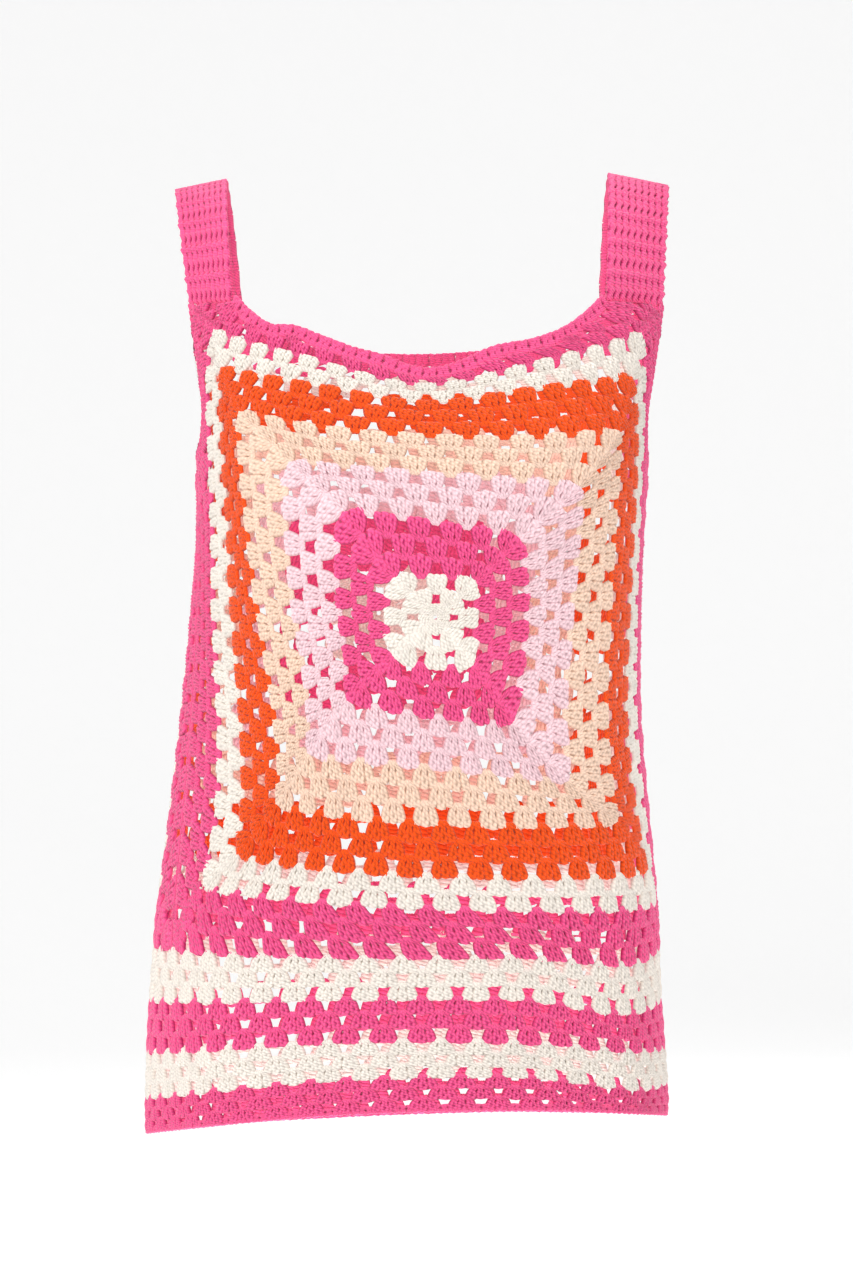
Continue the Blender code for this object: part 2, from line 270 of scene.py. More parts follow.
ROUNDS = 20
INNER_ROUNDS = 17
BORDER_ROUNDS = ROUNDS - INNER_ROUNDS
STRAP_SHARE = 17 / ROUNDS
UNDERARM_SHARE = 0.5
UNDERARM = -179.0
SQUARE_TOP = -77.0
SQUARE_BOTTOM = -466.5
SAG = 7.5  # how far the squares' bottom sags at the right
SAG_TURNS = (20.0, 97.0)
EDGING = 5.0  # height of the dense row along the neck
EDGING_DROP = EDGING + 0.3
ROUND_HEIGHT = 10.0
RISE_SCALE = 16  # makes a rise whole halfway to its corner

JOINS = rows_of(Join, (-466.5, -66, 97), (-353, -69, 97), (-262, -74, 93), (-216, -81, 91), (-179, -89, 90))
ARMHOLES = rows_of(
    Armhole,
    (-179, -89, 90, 90, 271), (-165, -77, 80, 100, 259), (-147, -70, 75, 105, 252),
    (-123, -67.5, 74, 106, 248), (-77, -68, 74.5, 105.5, 247),
)
JOIN_OF = {  # the join under each edge, with the turns to add to reach it from the square's side
    "front_left": ("left", 0),
    "front_right": ("right", 0),
    "back_left": ("right", 0),
    "back_right": ("left", 360),
}
SIDE_MARKS = (-1.0, 0.0, UNDERARM_SHARE, 1.0)  # shares along the left and right sides
EDGE_LEVELS = (SQUARE_BOTTOM, -262.0, UNDERARM, SQUARE_TOP)  # heights there
FRONT_NECK = rows_of(
    Neck,
    (-49, -72), (-44, -83), (-38, -91.5), (-31, -93), (-24, -99.5), (-17, -106), (-9, -111.5), (-3, -117.5),
    (4, -118.5), (10, -114), (17, -106), (27, -101), (38, -90), (43.5, -80), (47, -72),
)
BACK_NECK = rows_of(
    Neck,
    (133, -72), (140, -83), (152, -92), (170, -98), (188, -99), (206, -96), (222, -84), (228, -72),
)
FRONT_LAPS = (
    Lap(0, *[(5, -266)] * 10),
    Lap(
        3, (-7.5, -239), (4.8, -240), (16, -242), (16, -254), (16, -266),
        (16.5, -297), (6, -297), (-6, -292), (-8, -265), (-8, -253),
    ),
    Lap(
        6, (-21.5, -200), (3.6, -208), (27, -216), (29, -241.5), (29.7, -265),
        (26.8, -331), (7, -326), (-16.6, -317), (-19.8, -263), (-21.6, -236),
    ),
    Lap(
        9, (-36, -171), (2.6, -180), (44.5, -185), (45, -218), (43.6, -265),
        (42.8, -365), (7.4, -356), (-25.8, -349), (-32.4, -262), (-36.6, -217),
    ),
    Lap(
        12, (-51, -140), (1.9, -158), (58, -151), (60, -198), (58.8, -265),
        (60.5, -390), (8, -388.5), (-33.5, -378), (-44, -261), (-51.3, -198),
    ),
    Lap(
        15, (-55.5, -112.7), (1.2, -138), (60, -117), (71.5, -187), (71, -265),
        (77.5, -421), (8.5, -419), (-44.5, -408.5), (-54, -261), (-60, -187), 5.2, 5.2,
    ),
    Lap(
        17, (-56.5, -89), (0.7, -128), (62, -89.5), (76, -180), (79, -265),
        (85.5, -442), (9, -438), (-56, -427.5), (-63.5, -261), (-69, -180), 8.2, 7,
    ),
)


def through_places(share: Array, values: tuple) -> Array:
    """The polynomial through the values at the marks along a side."""
    total = 0
    for mark, value in zip(SIDE_MARKS, values):
        weight = 1
        for other in SIDE_MARKS:
            if other != mark:
                weight = weight * (share - other) / (mark - other)
        total = total + weight * value
    return total


def edge_turn(height: Array, name: str) -> Array:
    """Turn of a named side edge at a height: a side join, with an armhole above it."""
    join, whole_turn = JOIN_OF[name]
    low = read_column(JOINS, height, join) + whole_turn
    return np.where(height < UNDERARM, low, read_column(ARMHOLES, height, name))


def rim_height(turn: Array, neck: tuple[Neck, ...]) -> Array:
    """Height of a neckline's rim, level beyond the straps' inner edges."""
    return read_column(neck, turn, "height")


def sag_share(turn: Array) -> Array:
    """How much of its sag a level has at a turn: the whole midway between the sag's ends."""
    first, last = SAG_TURNS
    return np.sin(np.pi * np.clip((turn - first) / (last - first), 0, 1)) ** 2


@dataclass(frozen=True)
class SquareChart:
    """The chart of one granny square, in rounds from its middle: (across, up) as seen from outside it.

    A place is a ring, which counts rounds, and a share from -1 to 1 along one of the four sides. The rounds
    of the last colour are as high as ROUND_HEIGHT, so the chart's rim is nearer where that colour is narrow.
    """

    name: str
    neck: tuple[Neck, ...]

    def edge(self, side: Side, share: Array) -> Places:
        """Turn and height of the square's outer edge."""
        if not side.level:
            height = through_places(share, EDGE_LEVELS)
            return edge_turn(height, f"{self.name}_{side.value}"), height
        corner = np.array(1.0 if side is Side.TOP else -1.0)
        start, end = (float(self.edge(upright, corner)[0]) for upright in (Side.LEFT, Side.RIGHT))
        if side is Side.BOTTOM:
            turn = start + (end - start) * (share + 1) / 2
            return turn, SQUARE_BOTTOM - SAG * sag_share(turn)
        stops = [-1, -STRAP_SHARE, STRAP_SHARE, 1]
        turn = np.interp(share, stops, [start, self.neck[0].turn, self.neck[-1].turn, end])
        return turn, rim_height(turn, self.neck) - EDGING_DROP

    def inner(self, side: Side, share: Array, ring: Array) -> Places:
        """Turn and height of a place inside the last colour."""
        raise NotImplementedError

    def border_width(self, side: Side, share: Array) -> Array:
        """Millimetres from the last colour's first round to the square's edge."""
        start = FORM.point(*self.inner(side, share, np.full_like(share, INNER_ROUNDS)))
        return np.linalg.norm(FORM.point(*self.edge(side, share)) - start, axis=-1) / MM

    def place(self, side: Side, share: Array, ring: Array) -> Places:
        """Turn and height of a place on the square."""
        beyond = np.clip((ring - INNER_ROUNDS) * ROUND_HEIGHT / self.border_width(side, share), 0, 1)
        inner = self.inner(side, share, np.minimum(ring, INNER_ROUNDS))
        return tuple(a + (b - a) * beyond for a, b in zip(inner, self.edge(side, share)))

    def locate(self, across_rounds: Array, up_rounds: Array) -> Places:
        """Turn and height of flat places."""
        ring = np.maximum(np.abs(across_rounds), np.abs(up_rounds))
        safe = np.maximum(ring, TINY)
        turn, height = np.zeros_like(ring), np.zeros_like(ring)
        upright = np.abs(across_rounds) > np.abs(up_rounds)
        chosen = {
            Side.TOP: ~upright & (up_rounds >= 0),
            Side.BOTTOM: ~upright & (up_rounds < 0),
            Side.RIGHT: upright & (across_rounds > 0),
            Side.LEFT: upright & (across_rounds <= 0),
        }
        for side, mask in chosen.items():
            along = across_rounds if side.level else up_rounds
            turn[mask], height[mask] = self.place(side, (along / safe)[mask], ring[mask])
        return turn, height

    def wrap(self, flat: Array) -> Array:
        """Flat work, as (across, up, lift) in rounds, rounds and millimetres, laid on the form."""
        turn, height = self.locate(flat[:, 0], flat[:, 1])
        return FORM.lifted(turn, height, flat[:, 2])


class FrontChart(SquareChart):
    """The front square, drawn out by the armholes and turned a little clockwise."""

    def inner(self, side: Side, share: Array, ring: Array) -> Places:
        """Turn and height of a place inside the last colour."""
        rounds = column(FRONT_LAPS, "round")

        def landmark(name: str) -> list[Array]:
            """A landmark's turn and height at each place's ring."""
            marks = column(FRONT_LAPS, name)
            return [smooth_curve(ring, rounds, marks[:, k]) for k in (0, 1)]

        where = side.value
        if not side.level:
            marks = [landmark(name) for name in ("bottom_" + where, where, where + "_upper", "top_" + where)]
            return tuple(through_places(share, [mark[k] for mark in marks]) for k in (0, 1))
        start, middle, end = landmark(where + "_left"), landmark(where), landmark(where + "_right")
        turn, height = (
            middle[k] + (end[k] - start[k]) / 2 * share + ((start[k] + end[k]) / 2 - middle[k]) * share**2
            for k in (0, 1)
        )
        if side is Side.TOP:
            rises = [read_column(FRONT_LAPS, ring, name) for name in ("left_rise", "right_rise")]
            height = height + np.where(share < 0, *rises) * RISE_SCALE * share**2 * (1 - np.abs(share)) ** 2
        return turn, height


class BackChart(SquareChart):
    """The back square, whose rounds grow evenly from a plain square into its edge."""

    centre = (190.0, -262.0)
    half_turn = 96.0
    half_height = 204.5

    def inner(self, side: Side, share: Array, ring: Array) -> Places:
        """Turn and height of a place inside the last colour."""
        over = {Side.LEFT: -1.0, Side.RIGHT: 1.0}.get(side, share)
        up = {Side.BOTTOM: -1.0, Side.TOP: 1.0}.get(side, share)
        plain = (self.half_turn * over, self.half_height * up)
        size = ring / ROUNDS
        return tuple(
            middle + size * (flat * (1 - size**3) + (rim - middle) * size**3)
            for middle, flat, rim in zip(self.centre, plain, self.edge(side, share))
        )


FRONT = FrontChart("front", FRONT_NECK)
BACK = BackChart("back", BACK_NECK)


@dataclass(frozen=True)
class BodyChart:
    """The lower body's chart: stitches across, two to a cluster, and rows upwards, so the hem is below 0.

    A drop says how far below the squares a colour ends: in front, at the right, behind and at the left. Its
    last number is how far it sags.
    """

    clusters: int = 44
    first_turn: float = -66.0  # where a row's first cluster stands, in a gap of the squares' last round
    rows_per_colour: int = 3
    drops: tuple[tuple[float, float, float, float, float], ...] = (
        (0, 0, 0, 0, SAG),
        (24, 31, 30, 33, 8.5),
        (49, 62, 60, 65, 2),
        (70, 83, 88, 93, 5),
        (89, 102, 113, 113, 0),
    )

    def drop(self, colour: int, turn: Array) -> Array:
        """How far below the squares a colour ends, smooth round the body."""
        front, right, back, left, sag = self.drops[colour]
        angle = np.radians(turn)
        return (
            (front + right + back + left) / 4
            + (front - back) / 2 * np.cos(angle)
            + (right - left) / 2 * np.sin(angle)
            + (front + back - right - left) / 4 * np.cos(2 * angle)
            + sag * sag_share(turn)
        )

    def locate(self, stitches: Array, rows: Array) -> Places:
        """Turn and height of flat places."""
        turn = self.first_turn + stitches * 180.0 / self.clusters
        levels = np.array([self.drop(colour, turn) for colour in range(len(self.drops))])
        colours = np.clip(-rows / self.rows_per_colour, -1, len(self.drops) - 1)
        whole = np.clip(np.floor(colours).astype(int), 0, len(self.drops) - 2)
        lanes = np.arange(len(turn))
        low, high = levels[whole, lanes], levels[whole + 1, lanes]
        return turn, SQUARE_BOTTOM - (low + (colours - whole) * (high - low))

    def wrap(self, flat: Array) -> Array:
        """Flat work, as (stitches, rows, lift in millimetres), laid on the form."""
        turn, height = self.locate(flat[:, 0], flat[:, 1])
        return FORM.lifted(turn, height, flat[:, 2])


@dataclass(frozen=True)
class StrapChart:
    """One strap's chart: stitches across from its edge at the lower turn, and rows from front to back."""

    side: str
    inner_top: float
    outer_top: float
    inner_across: float
    outer_across: float
    base: float = SQUARE_TOP + 0.3
    bow: float = 1.85
    stitches: int = 9
    rows: int = 24
    tail: float = 0.26  # how many metres a whole share runs on past the strap's foot
    step: float = 0.01  # how far off the strap's slopes are read, as a share

    def arch(self, turns: tuple[float, float], top: float, top_across: float, share: Array) -> Array:
        """The strap's edge over the shoulder, from the front turn to the back one."""
        angle = np.pi * np.clip(share, 0, 1)
        bend = 2 / self.bow
        rise, forward = np.sin(angle) ** bend, np.abs(np.cos(angle)) ** bend
        front, back = (FORM.point(np.array(float(turn)), np.array(self.base)) for turn in turns)
        foot = np.where((share < 0.5)[:, None], front, back)
        x = foot[:, 0] + (top_across * MM - foot[:, 0]) * rise
        z = foot[:, 2] + (top * MM - foot[:, 2]) * rise
        beyond = np.where(share < 0, share, np.where(share > 1, 1 - share, 0)) * self.tail
        return np.stack([x, foot[:, 1] * forward, z + beyond], axis=-1)

    def surface(self, lane: Array, share: Array) -> Array:
        """The strap's outer face, at a share across and a share along."""
        left = self.side == "left"
        behind = "right" if left else "left"
        inner_turns = (FRONT_NECK[0 if left else -1].turn, BACK_NECK[-1 if left else 0].turn)
        top = np.array(SQUARE_TOP)
        outer_turns = tuple(float(edge_turn(top, name)) for name in (f"front_{self.side}", f"back_{behind}"))
        inner = self.arch(inner_turns, self.inner_top, self.inner_across, share)
        outer = self.arch(outer_turns, self.outer_top, self.outer_across, share)
        low, high = (outer, inner) if left else (inner, outer)
        return low + (high - low) * lane[:, None]

    def wrap(self, flat: Array) -> Array:
        """Flat work, as (stitches, rows, lift in millimetres), laid on the strap."""
        lane, share = flat[:, 0] / self.stitches, flat[:, 1] / self.rows
        over = self.surface(lane + self.step, share) - self.surface(lane - self.step, share)
        later, earlier = (np.clip(share + step, 0, 1) for step in (self.step, -self.step))
        along = self.surface(lane, later) - self.surface(lane, earlier)
        return self.surface(lane, share) + across(over, along) * (flat[:, 2] * MM)[:, None]


@dataclass(frozen=True)
class PathChart:
    """The chart of a narrow row along a path on the form: millimetres along, to its left, and of lift."""

    turns: Array
    heights: Array

    def points(self) -> Array:
        """The path's points, in metres."""
        return FORM.point(self.turns, self.heights)

    def marks(self) -> Array:
        """Millimetres along the path at each of its points."""
        steps = np.linalg.norm(np.diff(self.points(), axis=0), axis=1) / MM
        return np.concatenate([[0], np.cumsum(steps)])

    @property
    def length(self) -> float:
        """The path's length in millimetres."""
        return float(self.marks()[-1])

    def wrap(self, flat: Array) -> Array:
        """Flat work laid beside the path."""
        points, marks = self.points(), self.marks()
        normals = FORM.normal(self.turns, self.heights)
        along = np.gradient(points, marks, axis=0)
        left = across(normals, along)

        def read(values: Array) -> Array:
            """Reads three-part values at each place along the path."""
            return np.stack([np.interp(flat[:, 0], marks, values[:, k]) for k in range(3)], axis=-1)

        return read(points) + read(left) * (flat[:, 1:2] * MM) + read(normals) * (flat[:, 2:3] * MM)


Chart = SquareChart | BodyChart | StrapChart | PathChart


# ---------------------------------------------------------------- yarn


@dataclass(frozen=True)
class Tube:
    """A closed tube through rings of points, with a pointed foot and head."""

    rings: Array
    hollows: Array  # how much shade is painted at each point of a ring, from 0 to 1, by how deep it lies between strands
    foot: Array
    head: Array

    def to_object(self, name: str) -> bpy.types.Object:
        """A smooth mesh object of the tube, with a texture place at every corner. It isn't in the scene.

        Args:
            name: the object's name.

        Returns:
            The object.
        """
        count, sides = self.rings.shape[:2]
        spine = np.concatenate([[self.foot], self.rings.mean(axis=1), [self.head]])[:, :2]
        marks = np.concatenate([[0], np.cumsum(np.linalg.norm(np.diff(spine, axis=0), axis=1))])
        last = 1 + count * sides
        faces, corners = [], []
        for k in range(sides):
            after = (k + 1) % sides
            near, far = k / sides, (k + 1) / sides
            faces.append([0, 1 + after, 1 + k])
            corners.extend([(marks[0], near), (marks[1], far), (marks[1], near)])
            for ring in range(count - 1):
                low, high = 1 + ring * sides, 1 + (ring + 1) * sides
                here, there = marks[ring + 1], marks[ring + 2]
                faces.append([low + k, low + after, high + after, high + k])
                corners.extend([(here, near), (here, far), (there, far), (there, near)])
            faces.append([last - sides + k, last - sides + after, last])
            corners.extend([(marks[count], near), (marks[count], far), (marks[count + 1], near)])
        points = [self.foot, *self.rings.reshape(-1, 3), self.head]
        hollows = [BACK_HOLLOW_SHADE, *self.hollows.ravel(), BACK_HOLLOW_SHADE]
        mesh = bpy.data.meshes.new(name)
        mesh.from_pydata([tuple(point) for point in points], [], faces)
        # painted shade, which the yarn's material reads
        mesh.attributes.new(HOLLOW_SHADE, "FLOAT", "POINT").data.foreach_set("value", hollows)
        places = mesh.uv_layers.new(name=STRAND_UV)
        places.data.foreach_set("uv", np.array(corners, float).ravel())
        mesh.shade_smooth()
        return bpy.data.objects.new(name, mesh)


class PostLevel(NamedTuple):
    """One level of a stitch's post: places across in chart units, heights off the cloth in millimetres."""

    height: float  # share of the stitch's height
    aside: float  # how far from the cluster's middle the post's middle lies
    half_width: float
    crest: float
    groove: float  # how far the groove between the post's two strands lies below the crest
    valley: float  # how far its flanks lie below the crest


@dataclass(frozen=True)
class Post:
    """A crochet stitch's post, foot at the origin and head at height 1: two strands in front, flat behind."""

    levels: tuple[PostLevel, ...]
    place: int = 0  # -1 at a cluster's left, 0 in its middle, 1 at its right
    least_back: float = 0.0  # half width behind
    behind: float = -0.8
    hump: float = 1.2  # how many times as far behind the middle lies as the edges
    outer_flank: float = -0.5
    crest_place: float = 0.45  # where each strand's crest runs, as a share of the half width
    drift: float = 0.15  # how far the groove wanders from side to side, as a share of the half width
    deepest: float = 1.5  # how far below the crest the painted shade is darkest
    foot_tip: tuple[float, float, float] = (0.0, -0.05, 0.0)  # from the first ring's middle
    head_tip: tuple[float, float, float] = (0.0, 0.06, -0.4)  # from the last ring's middle

    def tube(self) -> Tube:
        """The post's skin."""
        rings, hollows = [], []
        back = [(1.0, self.behind), (0.0, self.behind * self.hump), (-1.0, self.behind)]
        for number, level in enumerate(self.levels):
            flank = level.crest - level.valley
            front = [
                (-1.0, self.outer_flank if self.place < 0 else flank),
                (-self.crest_place, level.crest),
                (self.drift if number % 2 else -self.drift, level.crest - level.groove),
                (self.crest_place, level.crest),
                (1.0, self.outer_flank if self.place > 0 else flank),
            ]
            back_width = max(level.half_width, self.least_back)
            x = [share * back_width for share, _ in back] + [share * level.half_width for share, _ in front]
            x = np.array(x) + self.place * level.aside
            z = np.array([z for _, z in back + front])
            rings.append(np.stack([x, np.full(len(x), level.height), z], axis=-1))
            # painted shade, darker the further a front point lies below the crest
            front_shades = [(level.crest - z) / self.deepest for _, z in front]
            hollows.append(np.clip([BACK_HOLLOW_SHADE] * len(back) + front_shades, 0, 1))
        foot = rings[0].mean(axis=0) + np.array(self.foot_tip)
        head = rings[-1].mean(axis=0) + np.array(self.head_tip)
        return Tube(np.array(rings), np.array(hollows), foot, head)


class StitchKind(Enum):
    """The two stitches of the top, each named as its template posts."""

    TREBLE = "cluster_post"
    DENSE = "dense_post"


MIDDLE_LEVELS = rows_of(
    PostLevel,
    (0.02, 0.0, 0.11, 0.9, 0.3, 0.5), (0.17, 0.0, 0.19, 1.6, 0.6, 1.1), (0.36, 0.0, 0.19, 1.9, 0.7, 2.2),
    (0.53, 0.0, 0.26, 2.1, 0.8, 1.1), (0.67, 0.0, 0.28, 1.9, 1.5, 0.9), (0.82, 0.0, 0.27, 1.7, 0.5, 1.8),
    (0.94, 0.0, 0.29, 1.3, 0.3, 0.8),
)
SIDE_LEVELS = rows_of(
    PostLevel,
    (0.02, 0.09, 0.13, 0.7, 0.3, 0.5), (0.17, 0.22, 0.20, 1.3, 0.6, 1.0), (0.36, 0.34, 0.22, 1.6, 0.7, 2.0),
    (0.53, 0.34, 0.28, 1.8, 0.8, 1.0), (0.67, 0.36, 0.29, 1.6, 1.3, 0.8), (0.82, 0.37, 0.31, 1.5, 0.5, 1.6),
    (0.94, 0.38, 0.29, 1.2, 0.3, 0.7),
)
OPEN_LEVELS = rows_of(
    PostLevel,
    (0.00, 0.0, 0.50, 0.1, 0.1, 0.2), (0.14, 0.0, 0.50, 0.9, 0.2, 0.3), (0.30, 0.0, 0.47, 1.1, 0.2, 0.8),
    (0.48, 0.0, 0.36, 1.2, 0.2, 2.1), (0.66, 0.0, 0.47, 1.2, 0.3, 0.8), (0.86, 0.0, 0.52, 1.6, 0.2, 0.3),
    (1.00, 0.0, 0.50, 0.6, 0.1, 0.2),
)
RIDGED_LEVELS = rows_of(
    PostLevel,
    (0.00, 0.0, 0.50, 0.1, 0.1, 0.2), (0.14, 0.0, 0.50, 0.8, 0.2, 0.3), (0.30, 0.0, 0.48, 1.0, 0.2, 0.5),
    (0.48, 0.0, 0.42, 1.1, 0.2, 1.4), (0.64, 0.0, 0.48, 1.2, 0.6, 0.5), (0.85, 0.0, 0.52, 2.0, 0.2, 0.3),
    (1.00, 0.0, 0.50, 0.8, 0.1, 0.2),
)
POSTS = {
    StitchKind.TREBLE: (Post(SIDE_LEVELS, -1), Post(MIDDLE_LEVELS), Post(SIDE_LEVELS, 1)),
    StitchKind.DENSE: (Post(OPEN_LEVELS, least_back=0.52), Post(RIDGED_LEVELS, least_back=0.52)),
}


@dataclass(frozen=True)
class Link:
    """A link of chain that lies across: depth, lift and tip drop in millimetres, lengths in chart units."""

    half_length: float = 0.46
    radius: float = 0.08
    depth: float = 0.8
    lift: float = 0.2
    tip_drop: float = 0.3
    sides: int = 5
    # how much shade is painted on the link
    hollow: float = 0.1
    stops: tuple[tuple[float, float], ...] = ((-0.6, 0.85), (0.0, 1.0), (0.6, 0.85))  # each with its girth

    def tube(self) -> Tube:
        """The link's skin."""
        angles = 2 * np.pi * np.arange(self.sides) / self.sides
        rings = []
        for share, girth in self.stops:
            up = self.radius * girth * np.cos(angles)
            out = self.lift + self.depth * girth * np.sin(angles)
            rings.append(np.stack([np.full(self.sides, share * self.half_length), up, out], axis=-1))
        tips = [np.array([way * self.half_length, 0, self.lift - self.tip_drop]) for way in (-1, 1)]
        return Tube(np.array(rings), np.full((len(rings), self.sides), self.hollow), *tips)


def post_collection(kind: StitchKind) -> bpy.types.Collection:
    """A stitch's template posts, which take turns across a cluster or row."""
    made = bpy.data.collections.new(kind.value)
    for number, post in enumerate(POSTS[kind]):
        made.objects.link(post.tube().to_object(f"{kind.value}_{number}"))
    return made


class StitchInput(Enum):
    """The inputs of the tree that works yarn over a chart."""

    STITCH = "Stitches"
    LINK = "Link"
    FAN = "Fan"
    SPREAD = "Foot spread"
    UNEVEN = "Unevenness"
    SEED = "Seed"
    YARN = "Yarn"


STITCH_INPUTS = {
    StitchInput.STITCH: "Collection",
    StitchInput.LINK: "Object",
    StitchInput.FAN: "Float",
    StitchInput.SPREAD: "Float",
    StitchInput.UNEVEN: "Float",
    StitchInput.SEED: "Int",
    StitchInput.YARN: "Material",
}
GROWTH_SEED = 7  # what is added to a run's seed to draw each stitch's growth
SHADE_SEED = 3  # and its shade


@dataclass
class TreeMaker:
    """Adds nodes to a tree, with their inputs set or joined as they are made."""

    tree: bpy.types.NodeTree

    @classmethod
    def group(cls, name: str, kind: str, inputs: dict[str, str], outputs: dict[str, str]) -> "TreeMaker":
        """The maker of a new group, whose sockets are given as their names and kinds."""
        tree = bpy.data.node_groups.new(name, kind)
        for way, sockets in (("INPUT", inputs), ("OUTPUT", outputs)):
            for socket, sort in sockets.items():
                tree.interface.new_socket(socket, in_out=way, socket_type="NodeSocket" + sort)
        return cls(tree)

    def fill(self, node: bpy.types.Node, inputs: dict) -> None:
        """Gives each named or numbered input of a node its value, or joins it to the socket that it takes."""
        for key, value in inputs.items():
            if isinstance(value, bpy.types.NodeSocket):
                self.tree.links.new(value, node.inputs[key])
            else:
                node.inputs[key].default_value = value

    def add(self, kind: str, inputs: dict | None = None, **settings: object) -> bpy.types.Node:
        """Makes one node.

        Args:
            kind: the node's type.
            inputs: for each input's name or number, a value or the socket that it takes.
            settings: the node's own properties.

        Returns:
            The node.
        """
        node = self.tree.nodes.new(kind)
        for name, value in settings.items():
            setattr(node, name, value)
        self.fill(node, inputs or {})
        return node

    def attribute(self, name: str, kind: str) -> bpy.types.NodeSocket:
        """Reads a named attribute of the geometry."""
        node = self.add("GeometryNodeInputNamedAttribute", {"Name": name}, data_type=kind)
        return node.outputs["Attribute"]

    def math(self, operation: str, *values: object) -> bpy.types.NodeSocket:
        """Works out one number."""
        return self.add("ShaderNodeMath", dict(enumerate(values)), operation=operation).outputs[0]

    def vector(self, **parts: object) -> bpy.types.NodeSocket:
        """A vector from its named parts."""
        return self.add("ShaderNodeCombineXYZ", parts).outputs[0]

    def random(self, low: object, high: object, seed: object) -> bpy.types.NodeSocket:
        """A random number for each point or instance."""
        return self.add("FunctionNodeRandomValue", {2: low, 3: high, 8: seed}, data_type="FLOAT").outputs[1]

    def noise(self, scale: float, detail: float) -> bpy.types.NodeSocket:
        """A noise that is fixed to the object."""
        where = self.add("ShaderNodeTexCoord").outputs["Object"]
        inputs = {"Vector": where, "Scale": scale, "Detail": detail}
        return self.add("ShaderNodeTexNoise", inputs).outputs["Fac"]

    def stored(self, name: str) -> bpy.types.NodeSocket:
        """A number that the geometry carries, read by a shader."""
        return self.add("ShaderNodeAttribute", attribute_name=name).outputs["Fac"]


def stitch_tree() -> bpy.types.NodeTree:
    """The tree that works yarn over a chart's points.

    Each point says how many posts stand on it, how they are turned and their size. A point with none takes a
    link of chain instead.
    """
    kinds = {"Geometry": "Geometry", **{each.value: kind for each, kind in STITCH_INPUTS.items()}}
    make = TreeMaker.group("Work stitches", "GeometryNodeTree", kinds, {"Geometry": "Geometry"})
    given = make.add("NodeGroupInput").outputs
    posts = make.attribute("posts", "INT")
    turn = make.attribute("turn", "FLOAT")
    size = make.attribute("size", "FLOAT_VECTOR")
    uneven, seed = given[StitchInput.UNEVEN.value], given[StitchInput.SEED.value]

    points = {"Geometry": given["Geometry"], "Amount": posts}
    copies = make.add("GeometryNodeDuplicateElements", points, domain="POINT").outputs
    middle = make.math("MULTIPLY", make.math("SUBTRACT", posts, 1.0), 0.5)
    from_middle = make.math("SUBTRACT", copies["Duplicate Index"], middle)
    sway = make.random(make.math("MULTIPLY", uneven, -1.0), uneven, seed)
    tilt = make.math("SUBTRACT", turn, make.math("MULTIPLY", from_middle, given[StitchInput.FAN.value]))
    aside = make.vector(X=make.math("MULTIPLY", from_middle, given[StitchInput.SPREAD.value]))
    foot = make.add("ShaderNodeVectorRotate", {"Vector": aside, "Angle": turn}, rotation_type="Z_AXIS")
    moved = make.add("GeometryNodeSetPosition", {"Geometry": copies["Geometry"], "Offset": foot.outputs[0]})
    least, most = (make.math(change, 1.0, uneven) for change in ("SUBTRACT", "ADD"))
    growth = make.random(least, most, make.math("ADD", seed, GROWTH_SEED))
    grown = make.add("ShaderNodeVectorMath", {0: size, "Scale": growth}, operation="SCALE")
    templates = make.add(
        "GeometryNodeCollectionInfo",
        {"Collection": given[StitchInput.STITCH.value], "Separate Children": True, "Reset Children": True},
    )
    stitches = make.add(
        "GeometryNodeInstanceOnPoints",
        {
            "Points": moved.outputs[0],
            "Instance": templates.outputs[0],
            "Pick Instance": True,
            "Instance Index": make.math("ADD", copies["Duplicate Index"], make.attribute("turnabout", "INT")),
            "Rotation": make.vector(Z=make.math("ADD", tilt, sway)),
            "Scale": grown.outputs[0],
        },
    )
    link = make.add("GeometryNodeObjectInfo", {"Object": given[StitchInput.LINK.value]})
    links = make.add(
        "GeometryNodeInstanceOnPoints",
        {
            "Points": given["Geometry"],
            "Selection": make.math("LESS_THAN", posts, 0.5),
            "Instance": link.outputs["Geometry"],
            "Rotation": make.vector(Z=turn),
            "Scale": size,
        },
    )
    joined = make.add("GeometryNodeJoinGeometry")
    for worked in (stitches, links):
        make.fill(joined, {0: worked.outputs[0]})
    shade = make.random(0.0, 1.0, make.math("ADD", seed, SHADE_SEED))
    shaded = make.add(
        "GeometryNodeStoreNamedAttribute",
        {"Geometry": joined.outputs[0], "Name": SHADE, "Value": shade},
        domain="INSTANCE",
        data_type="FLOAT",
    )
    real = make.add("GeometryNodeRealizeInstances", {"Geometry": shaded.outputs[0]}).outputs[0]
    coloured = make.add("GeometryNodeSetMaterial", {"Geometry": real, "Material": given[StitchInput.YARN.value]})
    make.add("NodeGroupOutput", {"Geometry": coloured.outputs[0]})
    return make.tree


class Stitch(NamedTuple):
    """A stitch at a place on a chart: a fan of posts, or with no posts a link."""

    foot: tuple[float, float]
    posts: int
    turn: float
    size: tuple[float, float, float]
    turnabout: int = 0  # which of the templates comes first


PLAN_KINDS = {"posts": "INT", "turnabout": "INT", "turn": "FLOAT", "size": "FLOAT_VECTOR"}


def in_scene(name: str, data: bpy.types.ID) -> bpy.types.Object:
    """A new object that is in the scene."""
    made = bpy.data.objects.new(name, data)
    bpy.context.scene.collection.objects.link(made)
    return made


def plan_object(plan: list[Stitch]) -> bpy.types.Object:
    """A plan as an object of loose points, which carry what the stitch tree reads."""
    mesh = bpy.data.meshes.new("plan")
    mesh.from_pydata([(*stitch.foot, 0.0) for stitch in plan], [], [])
    for name, kind in PLAN_KINDS.items():
        values = np.array([getattr(stitch, name) for stitch in plan]).ravel().tolist()
        slot = "vector" if kind == "FLOAT_VECTOR" else "value"
        mesh.attributes.new(name, kind, "POINT").data.foreach_set(slot, values)
    return in_scene("plan", mesh)


@dataclass(frozen=True)
class Handwork:
    """How evenly a run of stitches is worked."""

    fan: float = math.radians(5)
    spread: float = 0.03
    unevenness: float = 0.045


